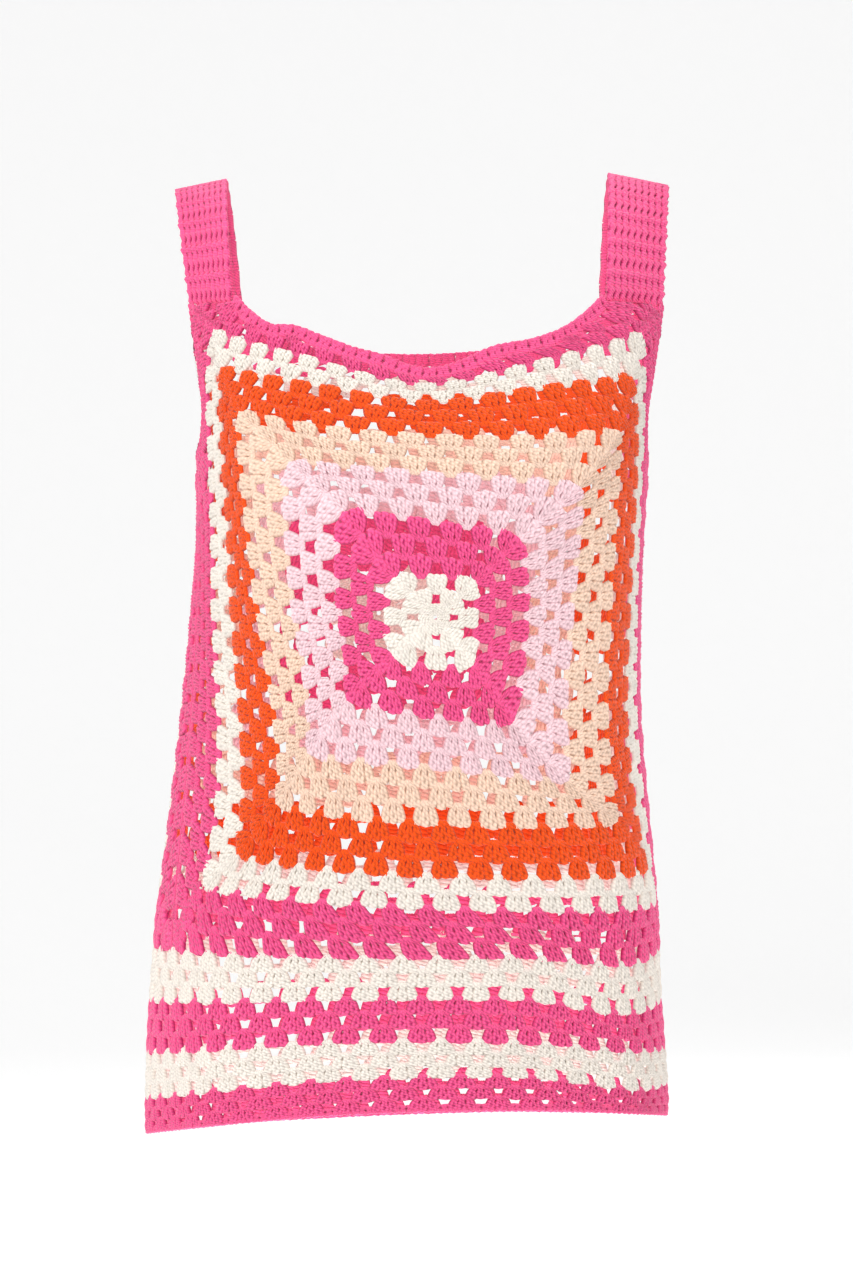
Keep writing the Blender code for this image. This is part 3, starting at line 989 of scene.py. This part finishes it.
def joined_mesh(name: str, meshes: list[bpy.types.Mesh]) -> bpy.types.Mesh:
    """One mesh from several of the same material."""
    made = meshes[0]
    if len(meshes) > 1:
        build = bmesh.new()
        for mesh in meshes:
            build.from_mesh(mesh)
        build.to_mesh(made)
        build.free()
    made.name = name
    return made


# ---------------------------------------------------------------- plans


def turned(side: Side, along: float, out: float) -> tuple[float, float]:
    """A place beside one side of a square: along it, clockwise as it grows, and out from the middle."""
    angle = SIDE_TURN[side]
    return (
        along * math.cos(angle) - out * math.sin(angle),
        along * math.sin(angle) + out * math.cos(angle),
    )


@dataclass(frozen=True)
class SquareLayout:
    """How rounds of clusters are set out on a square's chart, in rounds."""

    sink: float = 0.4  # how far a cluster's foot lies under the round before
    least_foot: float = 0.12  # how near the middle a foot may stand
    corner_shift: float = 0.35  # how much nearer the middle of the side a corner cluster's foot is
    corner_lean: float = math.radians(15.4)
    full_round: int = 6  # the clusters of the rounds before this one are narrower and flatter
    least_depth: float = 0.22
    least_width: float = 0.84
    link_drop: float = 0.14
    link_depth: float = 0.8
    least_row: float = 8.5  # millimetres: a border narrower than a whole number of these has fewer rows
    least_room: float = 2.0  # millimetres: a border's row with less than this is left out
    border_depth: float = 1.15

    def corner(self, along: int, number: int) -> tuple[float, float]:
        """How far a cluster leans and its foot is shifted, which only the ones at a side's ends do."""
        if number == 1 or abs(along) < number - 1:
            return 0.0, 0.0
        outward = math.copysign(1, along)
        return -outward * self.corner_lean, -outward * self.corner_shift

    def round(self, number: int) -> Iterator[Stitch]:
        """One whole round of clusters, and the links between them."""
        foot = max(number - 1 - self.sink, self.least_foot)
        grown = min(1.0, number / self.full_round)
        width, depth = (least + (1 - least) * grown for least in (self.least_width, self.least_depth))
        for side in Side:
            turn = SIDE_TURN[side]
            for along in range(1 - number, number, 2):
                lean, shift = self.corner(along, number)
                place = turned(side, along + shift, foot)
                yield Stitch(place, 3, turn + lean, (width, number - foot, depth))
                place = turned(side, along + 1.0, number - self.link_drop)
                yield Stitch(place, 0, turn, (1.0, 1.0, depth * self.link_depth))

    def border(self, chart: SquareChart) -> Iterator[Stitch]:
        """The last colour's rounds, fewer where its width leaves no room for all of them."""
        for row in range(1, BORDER_ROUNDS + 1):
            number = INNER_ROUNDS + row
            for side in Side:
                for along in range(1 - number, number, 2):
                    yield from self.border_cluster(chart, side, row, along)

    def border_cluster(self, chart: SquareChart, side: Side, row: int, along: int) -> Iterator[Stitch]:
        """One cluster of the border and the link after it, left out where the border is too narrow."""
        number = INNER_ROUNDS + row
        share = along / number
        seen_share = np.array([share if side in (Side.TOP, Side.LEFT) else -share])
        width = float(chart.border_width(side, seen_share)[0])
        height = max(self.least_row, width / BORDER_ROUNDS)
        low, high = (row - 1) * height, min(row * height, width)
        if low > width - self.least_room:
            return
        ring = INNER_ROUNDS + high / ROUND_HEIGHT
        sunk = self.sink * (ROUND_HEIGHT if row == 1 else height)
        foot = INNER_ROUNDS + (low - sunk) / ROUND_HEIGHT
        pitch = ring / number
        turn = SIDE_TURN[side]
        lean, shift = self.corner(along, number)
        place = turned(side, share * ring + shift, foot)
        yield Stitch(place, 3, turn + lean, (pitch, ring - foot, self.border_depth))
        yield Stitch(turned(side, share * ring + pitch, ring - self.link_drop), 0, turn, (pitch, 1.0, 1.0))


@dataclass(frozen=True)
class DenseRow:
    """A row of dense stitches along a path, with a chain along their heads, in millimetres.

    Stitches lean one way and the other in turn. Links all lean one way, less and more in turn, and are scaled
    by chain_width across the path.
    """

    pitch: float
    height: float
    offset: float  # how far to the left of the path the feet stand
    leans: tuple[float, float] = (math.radians(-4), math.radians(6))
    overlap: float = 1.18  # a stitch's width, in steps
    depth: float = 0.7
    chain_leans: tuple[float, float] = (math.radians(12), math.radians(20))
    chain_drop: float = 0.7
    chain_length: float = 1.45  # a link's length, in steps
    chain_width: float = 14.0
    chain_depth: float = 1.6

    def stitches(self, length: float) -> Iterator[Stitch]:
        """The row's stitches and links, spread evenly along a length."""
        count = max(1, round(length / self.pitch))
        step = length / count
        stitch_size = (step * self.overlap, self.height, self.depth)
        chain_size = (step * self.chain_length, self.chain_width, self.chain_depth)
        head = self.offset + self.height - self.chain_drop
        for i in range(count):
            along, turnabout = (i + 0.5) * step, i % 2
            yield Stitch((along, self.offset), 1, self.leans[turnabout], stitch_size, turnabout)
            yield Stitch((along, head), 0, self.chain_leans[turnabout], chain_size)


# ---------------------------------------------------------------- finishes


@dataclass(frozen=True)
class YarnFinish:
    """How matte cotton yarn is dyed and spun, and how much shade is painted into its dye between the plies
    and in the hollows between strands.
    """

    colour: tuple[float, float, float]
    roughness: float = 0.88
    sheen: float = 0.25
    sheen_roughness: float = 0.5
    specular: float = 0.2
    ply_bump: float = 0.7
    bump_distance: float = 0.001
    ply_depth: float = 0.14  # how much darker the dye is painted between the plies, as painted shade, and lighter on their crests, as painted highlight
    hollow_value: float = 0.62  # how bright the dye is painted at the bottom of a hollow, as painted shade


FINISHES = {
    Yarn.CREAM: YarnFinish((0.935, 0.86, 0.78), ply_depth=0.10, hollow_value=0.74),
    Yarn.HOT_PINK: YarnFinish((1.0, 0.11, 0.31), ply_depth=0.36, hollow_value=0.4),
    Yarn.PALE_PINK: YarnFinish((1.0, 0.70, 0.75)),
    Yarn.PEACH: YarnFinish((1.0, 0.72, 0.565), ply_depth=0.18),
    Yarn.ORANGE: YarnFinish((1.0, 0.095, 0.005), ply_depth=0.32, hollow_value=0.5),
}


@dataclass(frozen=True)
class YarnTexture:
    """What every yarn's surface shares: how its dye varies, the shade and highlight painted into it over the
    plies and in the hollows, and how its plies are twisted.
    """

    middle_ply: float = 0.75  # the height of the plies where the dye has its own brightness: painted shade below it, painted highlight above
    brightness: float = 0.945
    stitch_change: float = 0.07  # how much brighter the palest stitch is than the darkest
    patch_change: float = 0.08
    patch_scale: float = 60.0
    # how much more saturated the painted shade in the hollows is
    hollow_saturation: float = 1.25
    plies_along: float = 5.5  # turns of the plies in a stitch's length
    plies_round: float = 2.5
    ply_shape: float = 0.6
    ply_height: float = 0.8
    fuzz_scale: float = 1500.0
    fuzz_height: float = 0.35

    def shade_group(self) -> bpy.types.NodeTree:
        """The node group that varies a dye from stitch to stitch, paints shade and highlight into it over the
        plies, and paints shade in the hollows between strands.
        """
        inputs = {"Dye": "Color", "Ply": "Float", "Ply depth": "Float", "Hollow value": "Float"}
        make = TreeMaker.group("Yarn shade", "ShaderNodeTree", inputs, {"Colour": "Color"})
        given = make.add("NodeGroupInput").outputs
        patches = make.noise(self.patch_scale, 2.0)
        bright = make.math("MULTIPLY_ADD", patches, self.patch_change, self.brightness)
        varied = make.math("MULTIPLY_ADD", make.stored(SHADE), self.stitch_change, bright)
        # painted shade between the plies and painted highlight on their crests
        above = make.math("SUBTRACT", given["Ply"], self.middle_ply)
        value = make.math("MULTIPLY_ADD", above, given["Ply depth"], varied)
        coloured = make.add("ShaderNodeHueSaturation", {"Color": given["Dye"], "Value": value}).outputs["Color"]
        # painted shade in the hollows between strands: the dye darker and more saturated
        hollow_shading = {"Color": coloured, "Value": given["Hollow value"], "Saturation": self.hollow_saturation}
        hollow_shaded = make.add("ShaderNodeHueSaturation", hollow_shading).outputs["Color"]
        mixed = make.add("ShaderNodeMix", {0: make.stored(HOLLOW_SHADE), 6: coloured, 7: hollow_shaded}, data_type="RGBA")
        make.add("NodeGroupOutput", {"Colour": mixed.outputs[2]})
        return make.tree

    def height_group(self) -> bpy.types.NodeTree:
        """The node group of the yarn's plies and fuzz: outputs a height from 0 to about 1."""
        make = TreeMaker.group("Ply height", "ShaderNodeTree", {}, {"Height": "Float"})
        place = make.add("ShaderNodeUVMap", uv_map=STRAND_UV).outputs["UV"]
        parts = make.add("ShaderNodeSeparateXYZ", {"Vector": place}).outputs
        round_turns = make.math("MULTIPLY_ADD", parts["Y"], self.plies_round, make.stored(SHADE))
        turns = make.math("MULTIPLY_ADD", parts["X"], self.plies_along, round_turns)
        ply = make.math("ABSOLUTE", make.math("SINE", make.math("MULTIPLY", turns, math.pi)))
        plies = make.math("MULTIPLY", make.math("POWER", ply, self.ply_shape), self.ply_height)
        fuzz = make.noise(self.fuzz_scale, 3.0)
        make.add("NodeGroupOutput", {"Height": make.math("MULTIPLY_ADD", fuzz, self.fuzz_height, plies)})
        return make.tree


def new_material(name: str) -> tuple[bpy.types.Material, TreeMaker, bpy.types.Node]:
    """A new material, with the maker of its nodes and its shader."""
    material = bpy.data.materials.new(name)
    material.use_nodes = True
    return material, TreeMaker(material.node_tree), material.node_tree.nodes["Principled BSDF"]


def yarn_material(
    yarn: Yarn, finish: YarnFinish, shade: bpy.types.NodeTree, plies: bpy.types.NodeTree
) -> bpy.types.Material:
    """One yarn's material.

    Args:
        yarn: the yarn, which names the material.
        finish: its dye and surface.
        shade: the shared group that varies the dye and paints shade into it between plies and strands.
        plies: the shared group of the plies' height.

    Returns:
        The material.
    """
    material, make, shader = new_material(f"{yarn.value}_yarn")
    height = make.add("ShaderNodeGroup", node_tree=plies).outputs["Height"]
    # the dye, and how much shade is painted into it between the plies and in the hollows
    dye_and_shading = {"Dye": (*finish.colour, 1), "Ply depth": finish.ply_depth, "Hollow value": finish.hollow_value}
    colour = make.add("ShaderNodeGroup", {**dye_and_shading, "Ply": height}, node_tree=shade)
    relief = {"Height": height, "Strength": finish.ply_bump, "Distance": finish.bump_distance}
    surface = {
        "Base Color": colour.outputs["Colour"],
        "Normal": make.add("ShaderNodeBump", relief).outputs["Normal"],
        "Roughness": finish.roughness,
        "Specular IOR Level": finish.specular,
        "Sheen Weight": finish.sheen,
        "Sheen Roughness": finish.sheen_roughness,
    }
    make.fill(shader, surface)
    return material


# ---------------------------------------------------------------- pieces


@dataclass
class Workshop:
    """What every piece is made with: the yarns, the template stitches, and the tree that works them."""

    yarns: dict[Yarn, bpy.types.Material]
    tree: bpy.types.NodeTree
    templates: dict[StitchKind, bpy.types.Collection]
    link: bpy.types.Object

    @classmethod
    def opened(cls) -> "Workshop":
        """A workshop with its yarns dyed and its templates made."""
        texture = YarnTexture()
        shade, plies = texture.shade_group(), texture.height_group()
        return cls(
            {yarn: yarn_material(yarn, finish, shade, plies) for yarn, finish in FINISHES.items()},
            stitch_tree(),
            {kind: post_collection(kind) for kind in StitchKind},
            Link().tube().to_object("link"),
        )

    def work(
        self,
        plan: Iterable[Stitch],
        chart: Chart,
        yarn: Yarn,
        seed: int,
        kind: StitchKind = StitchKind.TREBLE,
        hand: Handwork = Handwork(),
    ) -> bpy.types.Mesh:
        """Works a plan flat, then lays it on the form.

        Args:
            plan: the stitches, at their places on the chart.
            chart: what lays flat places on the form.
            yarn: the yarn.
            seed: the seed of the unevenness.
            kind: the stitch that the posts are of.
            hand: how the stitches fan out and how even they are.

        Returns:
            The finished mesh.
        """
        flat = plan_object(list(plan))
        values = {
            StitchInput.STITCH: self.templates[kind],
            StitchInput.LINK: self.link,
            StitchInput.FAN: hand.fan,
            StitchInput.SPREAD: hand.spread,
            StitchInput.UNEVEN: hand.unevenness,
            StitchInput.SEED: seed,
            StitchInput.YARN: self.yarns[yarn],
        }
        modifier = flat.modifiers.new("stitches", "NODES")
        modifier.node_group = self.tree
        sockets = (item for item in self.tree.interface.items_tree if item.in_out == "INPUT")
        keys = {socket.name: socket.identifier for socket in sockets}
        for each, value in values.items():
            modifier[keys[each.value]] = value
        graph = bpy.context.evaluated_depsgraph_get()
        mesh = bpy.data.meshes.new_from_object(flat.evaluated_get(graph), depsgraph=graph)
        bpy.data.objects.remove(flat, do_unlink=True)
        places = np.empty(len(mesh.vertices) * 3)
        mesh.vertices.foreach_get("co", places)
        laid = chart.wrap(places.reshape(-1, 3) + np.array([0, 0, YARN_LIFT]))
        mesh.vertices.foreach_set("co", laid.ravel())
        for name in PLAN_KINDS:
            if name in mesh.attributes:
                mesh.attributes.remove(mesh.attributes[name])
        mesh.update()
        return mesh

    def work_row(self, row: DenseRow, path: PathChart, yarn: Yarn, seed: int) -> bpy.types.Mesh:
        """Works one dense row along a path."""
        return self.work(row.stitches(path.length), path, yarn, seed, StitchKind.DENSE)

    def put_away(self) -> None:
        """Removes the template objects."""
        bpy.data.objects.remove(self.link, do_unlink=True)
        for made in self.templates.values():
            for template in tuple(made.objects):
                bpy.data.objects.remove(template, do_unlink=True)
            bpy.data.collections.remove(made)

    def finish_piece(
        self, node: str, yarn: Yarn, meshes: list[bpy.types.Mesh], width: float, reach: float = 0.0
    ) -> bpy.types.Object:
        """Turns worked meshes into a piece that stands for its node.

        Args:
            node: the CAD node that the piece replaces.
            yarn: the piece's yarn; not used.
            meshes: what was worked for it.
            width: how wide the cloth shows across its rows, in millimetres; its length follows from its area.
            reach: how far the work goes on under the row before it, in millimetres.

        Returns:
            The piece.
        """
        length = cloth_area(node) / (width * MM)
        area = length * (width + reach) * MM
        piece = in_scene(f"yarn_{node}", joined_mesh(f"yarn_{node}", meshes))
        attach(piece, "root")
        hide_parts(node)
        faces = len(piece.data.polygons)
        share = sum(face.area for face in piece.data.polygons) / 2 / area
        size = (width + reach, length / MM)
        LOG.info("%s: %s faces, cloth of %.1f by %.0f mm, yarn %.2f of it", node, faces, *size, share)
        return piece


def cloth_area(node: str) -> float:
    """The area in square metres of one side of a node's wall."""
    return sum(face.area for face in bpy.data.objects[node].data.polygons) / 2


@dataclass(frozen=True)
class ColourRounds:
    """The rounds of one colour of a square."""

    name: str
    yarn: Yarn
    first: int
    last: int


SQUARE_COLOURS = (
    ColourRounds("cream_centre", Yarn.CREAM, 1, 3),
    ColourRounds("pink_inner", Yarn.HOT_PINK, 4, 6),
    ColourRounds("pale_pink", Yarn.PALE_PINK, 7, 9),
    ColourRounds("peach", Yarn.PEACH, 10, 12),
    ColourRounds("orange", Yarn.ORANGE, 13, 15),
    ColourRounds("cream_outer", Yarn.CREAM, 16, 17),
)
BODY_COLOURS = (
    ("hem_cream_upper", Yarn.CREAM),
    ("hem_pink_upper", Yarn.HOT_PINK),
    ("hem_cream_lower", Yarn.CREAM),
    ("hem_pink_lower", Yarn.HOT_PINK),
)


@dataclass(frozen=True)
class GrannySquare:
    """One square of the top, front or back."""

    chart: SquareChart
    seed: int
    layout: SquareLayout = SquareLayout()
    edge: DenseRow = DenseRow(4.2, 4.5, -4.5)
    rib: DenseRow = DenseRow(4.2, 3.6, -1.8)
    edge_start: float = 11.0  # how far above the underarm the dense rows begin
    edge_points: int = 40
    join_points: int = 80

    def build(self, shop: Workshop) -> None:
        """Works every colour of the square."""
        sunk = self.layout.sink * ROUND_HEIGHT
        for colour in SQUARE_COLOURS:
            numbers = range(colour.first, colour.last + 1)
            plan = (stitch for number in numbers for stitch in self.layout.round(number))
            mesh = shop.work(plan, self.chart, colour.yarn, self.seed + colour.first)
            node = f"{self.chart.name}_{colour.name}"
            reach = 0.0 if colour.first == 1 else sunk
            shop.finish_piece(node, colour.yarn, [mesh], len(numbers) * ROUND_HEIGHT, reach)
        border, pink = self.layout.border(self.chart), Yarn.HOT_PINK
        meshes = [shop.work(border, self.chart, pink, self.seed + ROUNDS)]
        meshes += [shop.work_row(self.edge, path, pink, self.seed + 1) for path in self.armhole_paths()]
        if self.chart is FRONT:
            meshes += [shop.work_row(self.rib, path, pink, self.seed + 2) for path in self.join_paths()]
        shop.finish_piece(f"{self.chart.name}_pink_border", pink, meshes, BORDER_ROUNDS * ROUND_HEIGHT, sunk)

    def armhole_paths(self) -> Iterator[PathChart]:
        """The paths along the armholes, each with its open side on the left."""
        for side in (Side.LEFT, Side.RIGHT):
            heights = np.linspace(UNDERARM + self.edge_start, SQUARE_TOP, self.edge_points)
            turns = edge_turn(heights, f"{self.chart.name}_{side.value}")
            if side is Side.RIGHT:
                heights, turns = heights[::-1], turns[::-1]
            yield PathChart(turns, heights)

    def join_paths(self) -> Iterator[PathChart]:
        """The paths up the joins between this square's sides and the other square, below the armholes."""
        for side in (Side.LEFT, Side.RIGHT):
            heights = np.linspace(SQUARE_BOTTOM, UNDERARM, self.join_points)
            yield PathChart(edge_turn(heights - TINY, f"{self.chart.name}_{side.value}"), heights)


@dataclass(frozen=True)
class LowerBody:
    """The rows worked round both squares, down to the hem."""

    chart: BodyChart = BodyChart()
    seed: int = 400
    rim_seed: int = 9  # what is added for the rim
    sink: float = 0.4  # how far a cluster's foot lies over the row before, in rows
    link_rise: float = 0.12  # how far the links lie above a row's end, in rows
    rim: DenseRow = DenseRow(4.0, 4.0, -4.0)
    mean_points: int = 72  # at which a band's height is taken for its mean
    rim_points: int = 181

    def build(self, shop: Workshop) -> None:
        """Works the four bands, the last with the hem's rim."""
        turns = np.linspace(0, 360, self.mean_points + 1)[:-1]
        for number, (node, yarn) in enumerate(BODY_COLOURS):
            width = float((self.chart.drop(number + 1, turns) - self.chart.drop(number, turns)).mean())
            reach = self.sink * width / self.chart.rows_per_colour
            meshes = [shop.work(self.stitches(number), self.chart, yarn, self.seed + number)]
            if number == len(BODY_COLOURS) - 1:
                reach += self.rim.height
                meshes.append(shop.work_row(self.rim, self.rim_path(), yarn, self.seed + self.rim_seed))
            shop.finish_piece(node, yarn, meshes, width, reach)

    def stitches(self, colour: int) -> Iterator[Stitch]:
        """The rows of one colour, worked downwards."""
        count = self.chart.rows_per_colour
        for row in range(colour * count, (colour + 1) * count):
            for i in range(self.chart.clusters):
                stitch = 2 * i + row % 2
                yield Stitch((stitch, -row + self.sink), 3, math.pi, (1.0, 1.0 + self.sink, 1.0))
                yield Stitch((stitch + 1.0, -row - 1 + self.link_rise), 0, math.pi, (1.0, 1.0, 1.0))

    def rim_path(self) -> PathChart:
        """The path along the hem's edge, with the open side on its left."""
        turns = np.linspace(360, 0, self.rim_points)
        return PathChart(turns, SQUARE_BOTTOM - self.chart.drop(len(BODY_COLOURS), turns))


@dataclass(frozen=True)
class StrapWork:
    """One strap, whose rows of trebles lean to the left and the right in turn."""

    chart: StrapChart
    seed: int
    width: float
    sway: float = 0.08  # how far a row's feet stand to its side, in stitches
    sink: float = 0.04  # how far its feet lie under the row before, in rows
    lean: float = math.radians(9)
    size: tuple[float, float, float] = (1.0, 1.06, 0.9)
    hand: Handwork = Handwork(unevenness=0.03)

    def build(self, shop: Workshop) -> None:
        """Works the strap's rows."""
        pink = Yarn.HOT_PINK
        mesh = shop.work(self.stitches(), self.chart, pink, self.seed, StitchKind.DENSE, self.hand)
        shop.finish_piece(f"strap_{self.chart.side}", pink, [mesh], self.width)

    def stitches(self) -> Iterator[Stitch]:
        """The strap's stitches, row by row from the front."""
        for row in range(self.chart.rows):
            side = 1 if row % 2 else -1
            for i in range(self.chart.stitches):
                foot = (i + 0.5 + self.sway * side, row - self.sink)
                yield Stitch(foot, 1, self.lean * side, self.size, row % 2)


@dataclass(frozen=True)
class NeckEdging:
    """The dense row along a neckline."""

    node: str
    neck: tuple[Neck, ...]
    seed: int
    pitch: float = 4.2
    reach: float = 2.5  # how far the row reaches down over the square
    path_points: int = 120

    def build(self, shop: Workshop) -> None:
        """Works the row from one strap to the other."""
        turns = np.linspace(self.neck[0].turn, self.neck[-1].turn, self.path_points)
        path = PathChart(turns, rim_height(turns, self.neck) - EDGING)
        row = DenseRow(self.pitch, EDGING + self.reach, -self.reach)
        mesh = shop.work_row(row, path, Yarn.HOT_PINK, self.seed)
        shop.finish_piece(self.node, Yarn.HOT_PINK, [mesh], EDGING, self.reach)


# ---------------------------------------------------------------- studio


class Lamp(NamedTuple):
    """A square soft lamp that is aimed at the top: its side in metres and its power in watts."""

    name: str
    place: tuple[float, float, float]
    size: float
    power: float


@dataclass(frozen=True)
class Studio:
    """A pale floor that sweeps up all round, soft lights and the camera."""

    floor_height: float = -0.85
    floor_radius: float = 3.4
    sweep_radius: float = 2.0
    sweep_rings: int = 13
    top: float = 3.0
    sides: int = 64
    paper: float = 0.6
    glow: float = 0.5  # what the backdrop adds to its own brightness, to be seen white and give little light
    daylight: float = 0.82
    aim: tuple[float, float, float] = (0.0, 0.0, -0.3)
    lamps: tuple[Lamp, ...] = (
        Lamp("key", (-1.5, -2.6, 0.9), 1.2, 50.0),
        Lamp("fill", (1.9, -2.2, 0.2), 1.8, 24.0),
        Lamp("top", (0.0, 0.1, 0.9), 0.8, 4.0),
        Lamp("low", (0.0, 0.05, -0.83), 0.5, 3.0),
        Lamp("left_side", (-2.3, -0.5, -0.1), 1.4, 14.0),
        Lamp("right_side", (2.3, -0.4, -0.1), 1.4, 10.0),
        Lamp("back", (1.5, 2.4, 0.8), 1.4, 24.0),
    )
    camera_place: tuple[float, float, float] = (0.0027, -2.6, -0.279)
    lens: float = 119.9
    sensor: float = 36.0

    def build(self) -> None:
        """Sets up the studio."""
        self.add_backdrop()
        self.add_lights()
        self.add_camera()

    def add_backdrop(self) -> None:
        """The round floor and the wall that it sweeps up into."""
        bend = np.radians(np.linspace(0, 90, self.sweep_rings))
        radii = self.floor_radius + self.sweep_radius * np.append(np.sin(bend), 1)
        heights = np.append(self.floor_height + self.sweep_radius * (1 - np.cos(bend)), self.top)
        turns = 2 * math.pi * np.arange(self.sides) / self.sides
        points = [(r * math.cos(a), r * math.sin(a), z) for r, z in zip(radii, heights) for a in turns]
        faces = [tuple(range(self.sides))]
        for ring in range(len(radii) - 1):
            low, high = ring * self.sides, (ring + 1) * self.sides
            for i in range(self.sides):
                after = (i + 1) % self.sides
                faces.append((low + i, high + i, high + after, low + after))
        mesh = bpy.data.meshes.new("backdrop")
        mesh.from_pydata(points, [], faces)
        mesh.shade_smooth()
        material, make, shader = new_material("backdrop_paper")
        seen = make.add("ShaderNodeLightPath").outputs["Is Camera Ray"]
        surface = {
            "Base Color": (self.paper, self.paper, self.paper, 1),
            "Roughness": 1.0,
            "Specular IOR Level": 0.0,
            "Emission Color": (1.0, 1.0, 1.0, 1),
            "Emission Strength": make.math("MULTIPLY", seen, self.glow),
        }
        make.fill(shader, surface)
        mesh.materials.append(material)
        in_scene("backdrop", mesh)

    def add_lights(self) -> None:
        """Daylight all round, and soft lamps in front, at the sides, behind, above and below."""
        world = bpy.data.worlds.new("daylight")
        world.use_nodes = True
        background = world.node_tree.nodes["Background"]
        TreeMaker(world.node_tree).fill(background, {"Color": (1.0, 1.0, 1.0, 1), "Strength": self.daylight})
        bpy.context.scene.world = world
        for lamp in self.lamps:
            light = bpy.data.lights.new(lamp.name, "AREA")
            light.shape = "SQUARE"
            light.size = lamp.size
            light.energy = lamp.power
            made = in_scene(lamp.name, light)
            made.location = lamp.place
            aim = Vector(self.aim) - Vector(lamp.place)
            made.rotation_euler = aim.to_track_quat("-Z", "Y").to_euler()

    def add_camera(self) -> None:
        """A level camera straight in front."""
        lens = bpy.data.cameras.new("camera")
        lens.lens = self.lens
        lens.sensor_width = self.sensor
        camera = in_scene("camera", lens)
        camera.location = self.camera_place
        camera.rotation_euler = (math.pi / 2, 0, 0)
        bpy.context.scene.camera = camera


def main() -> None:
    """Works the top and sets up the studio."""
    bpy.context.scene.view_settings.view_transform = "Standard"
    shop = Workshop.opened()
    pieces = (
        GrannySquare(FRONT, 100),
        GrannySquare(BACK, 200),
        LowerBody(),
        StrapWork(StrapChart("left", 2.0, -4.5, -119, -150.5), 510, 33.0),
        StrapWork(StrapChart("right", 5.5, -2.0, 113.5, 150.5), 520, 40.0),
        NeckEdging("neck_edging_front", FRONT_NECK, 610),
        NeckEdging("neck_edging_back", BACK_NECK, 620),
    )
    for piece in pieces:
        piece.build(shop)
    shop.put_away()
    Studio().build()


if __name__ == "__main__":
    logging.basicConfig(level=logging.INFO, format="%(name)s: %(message)s")
    main()
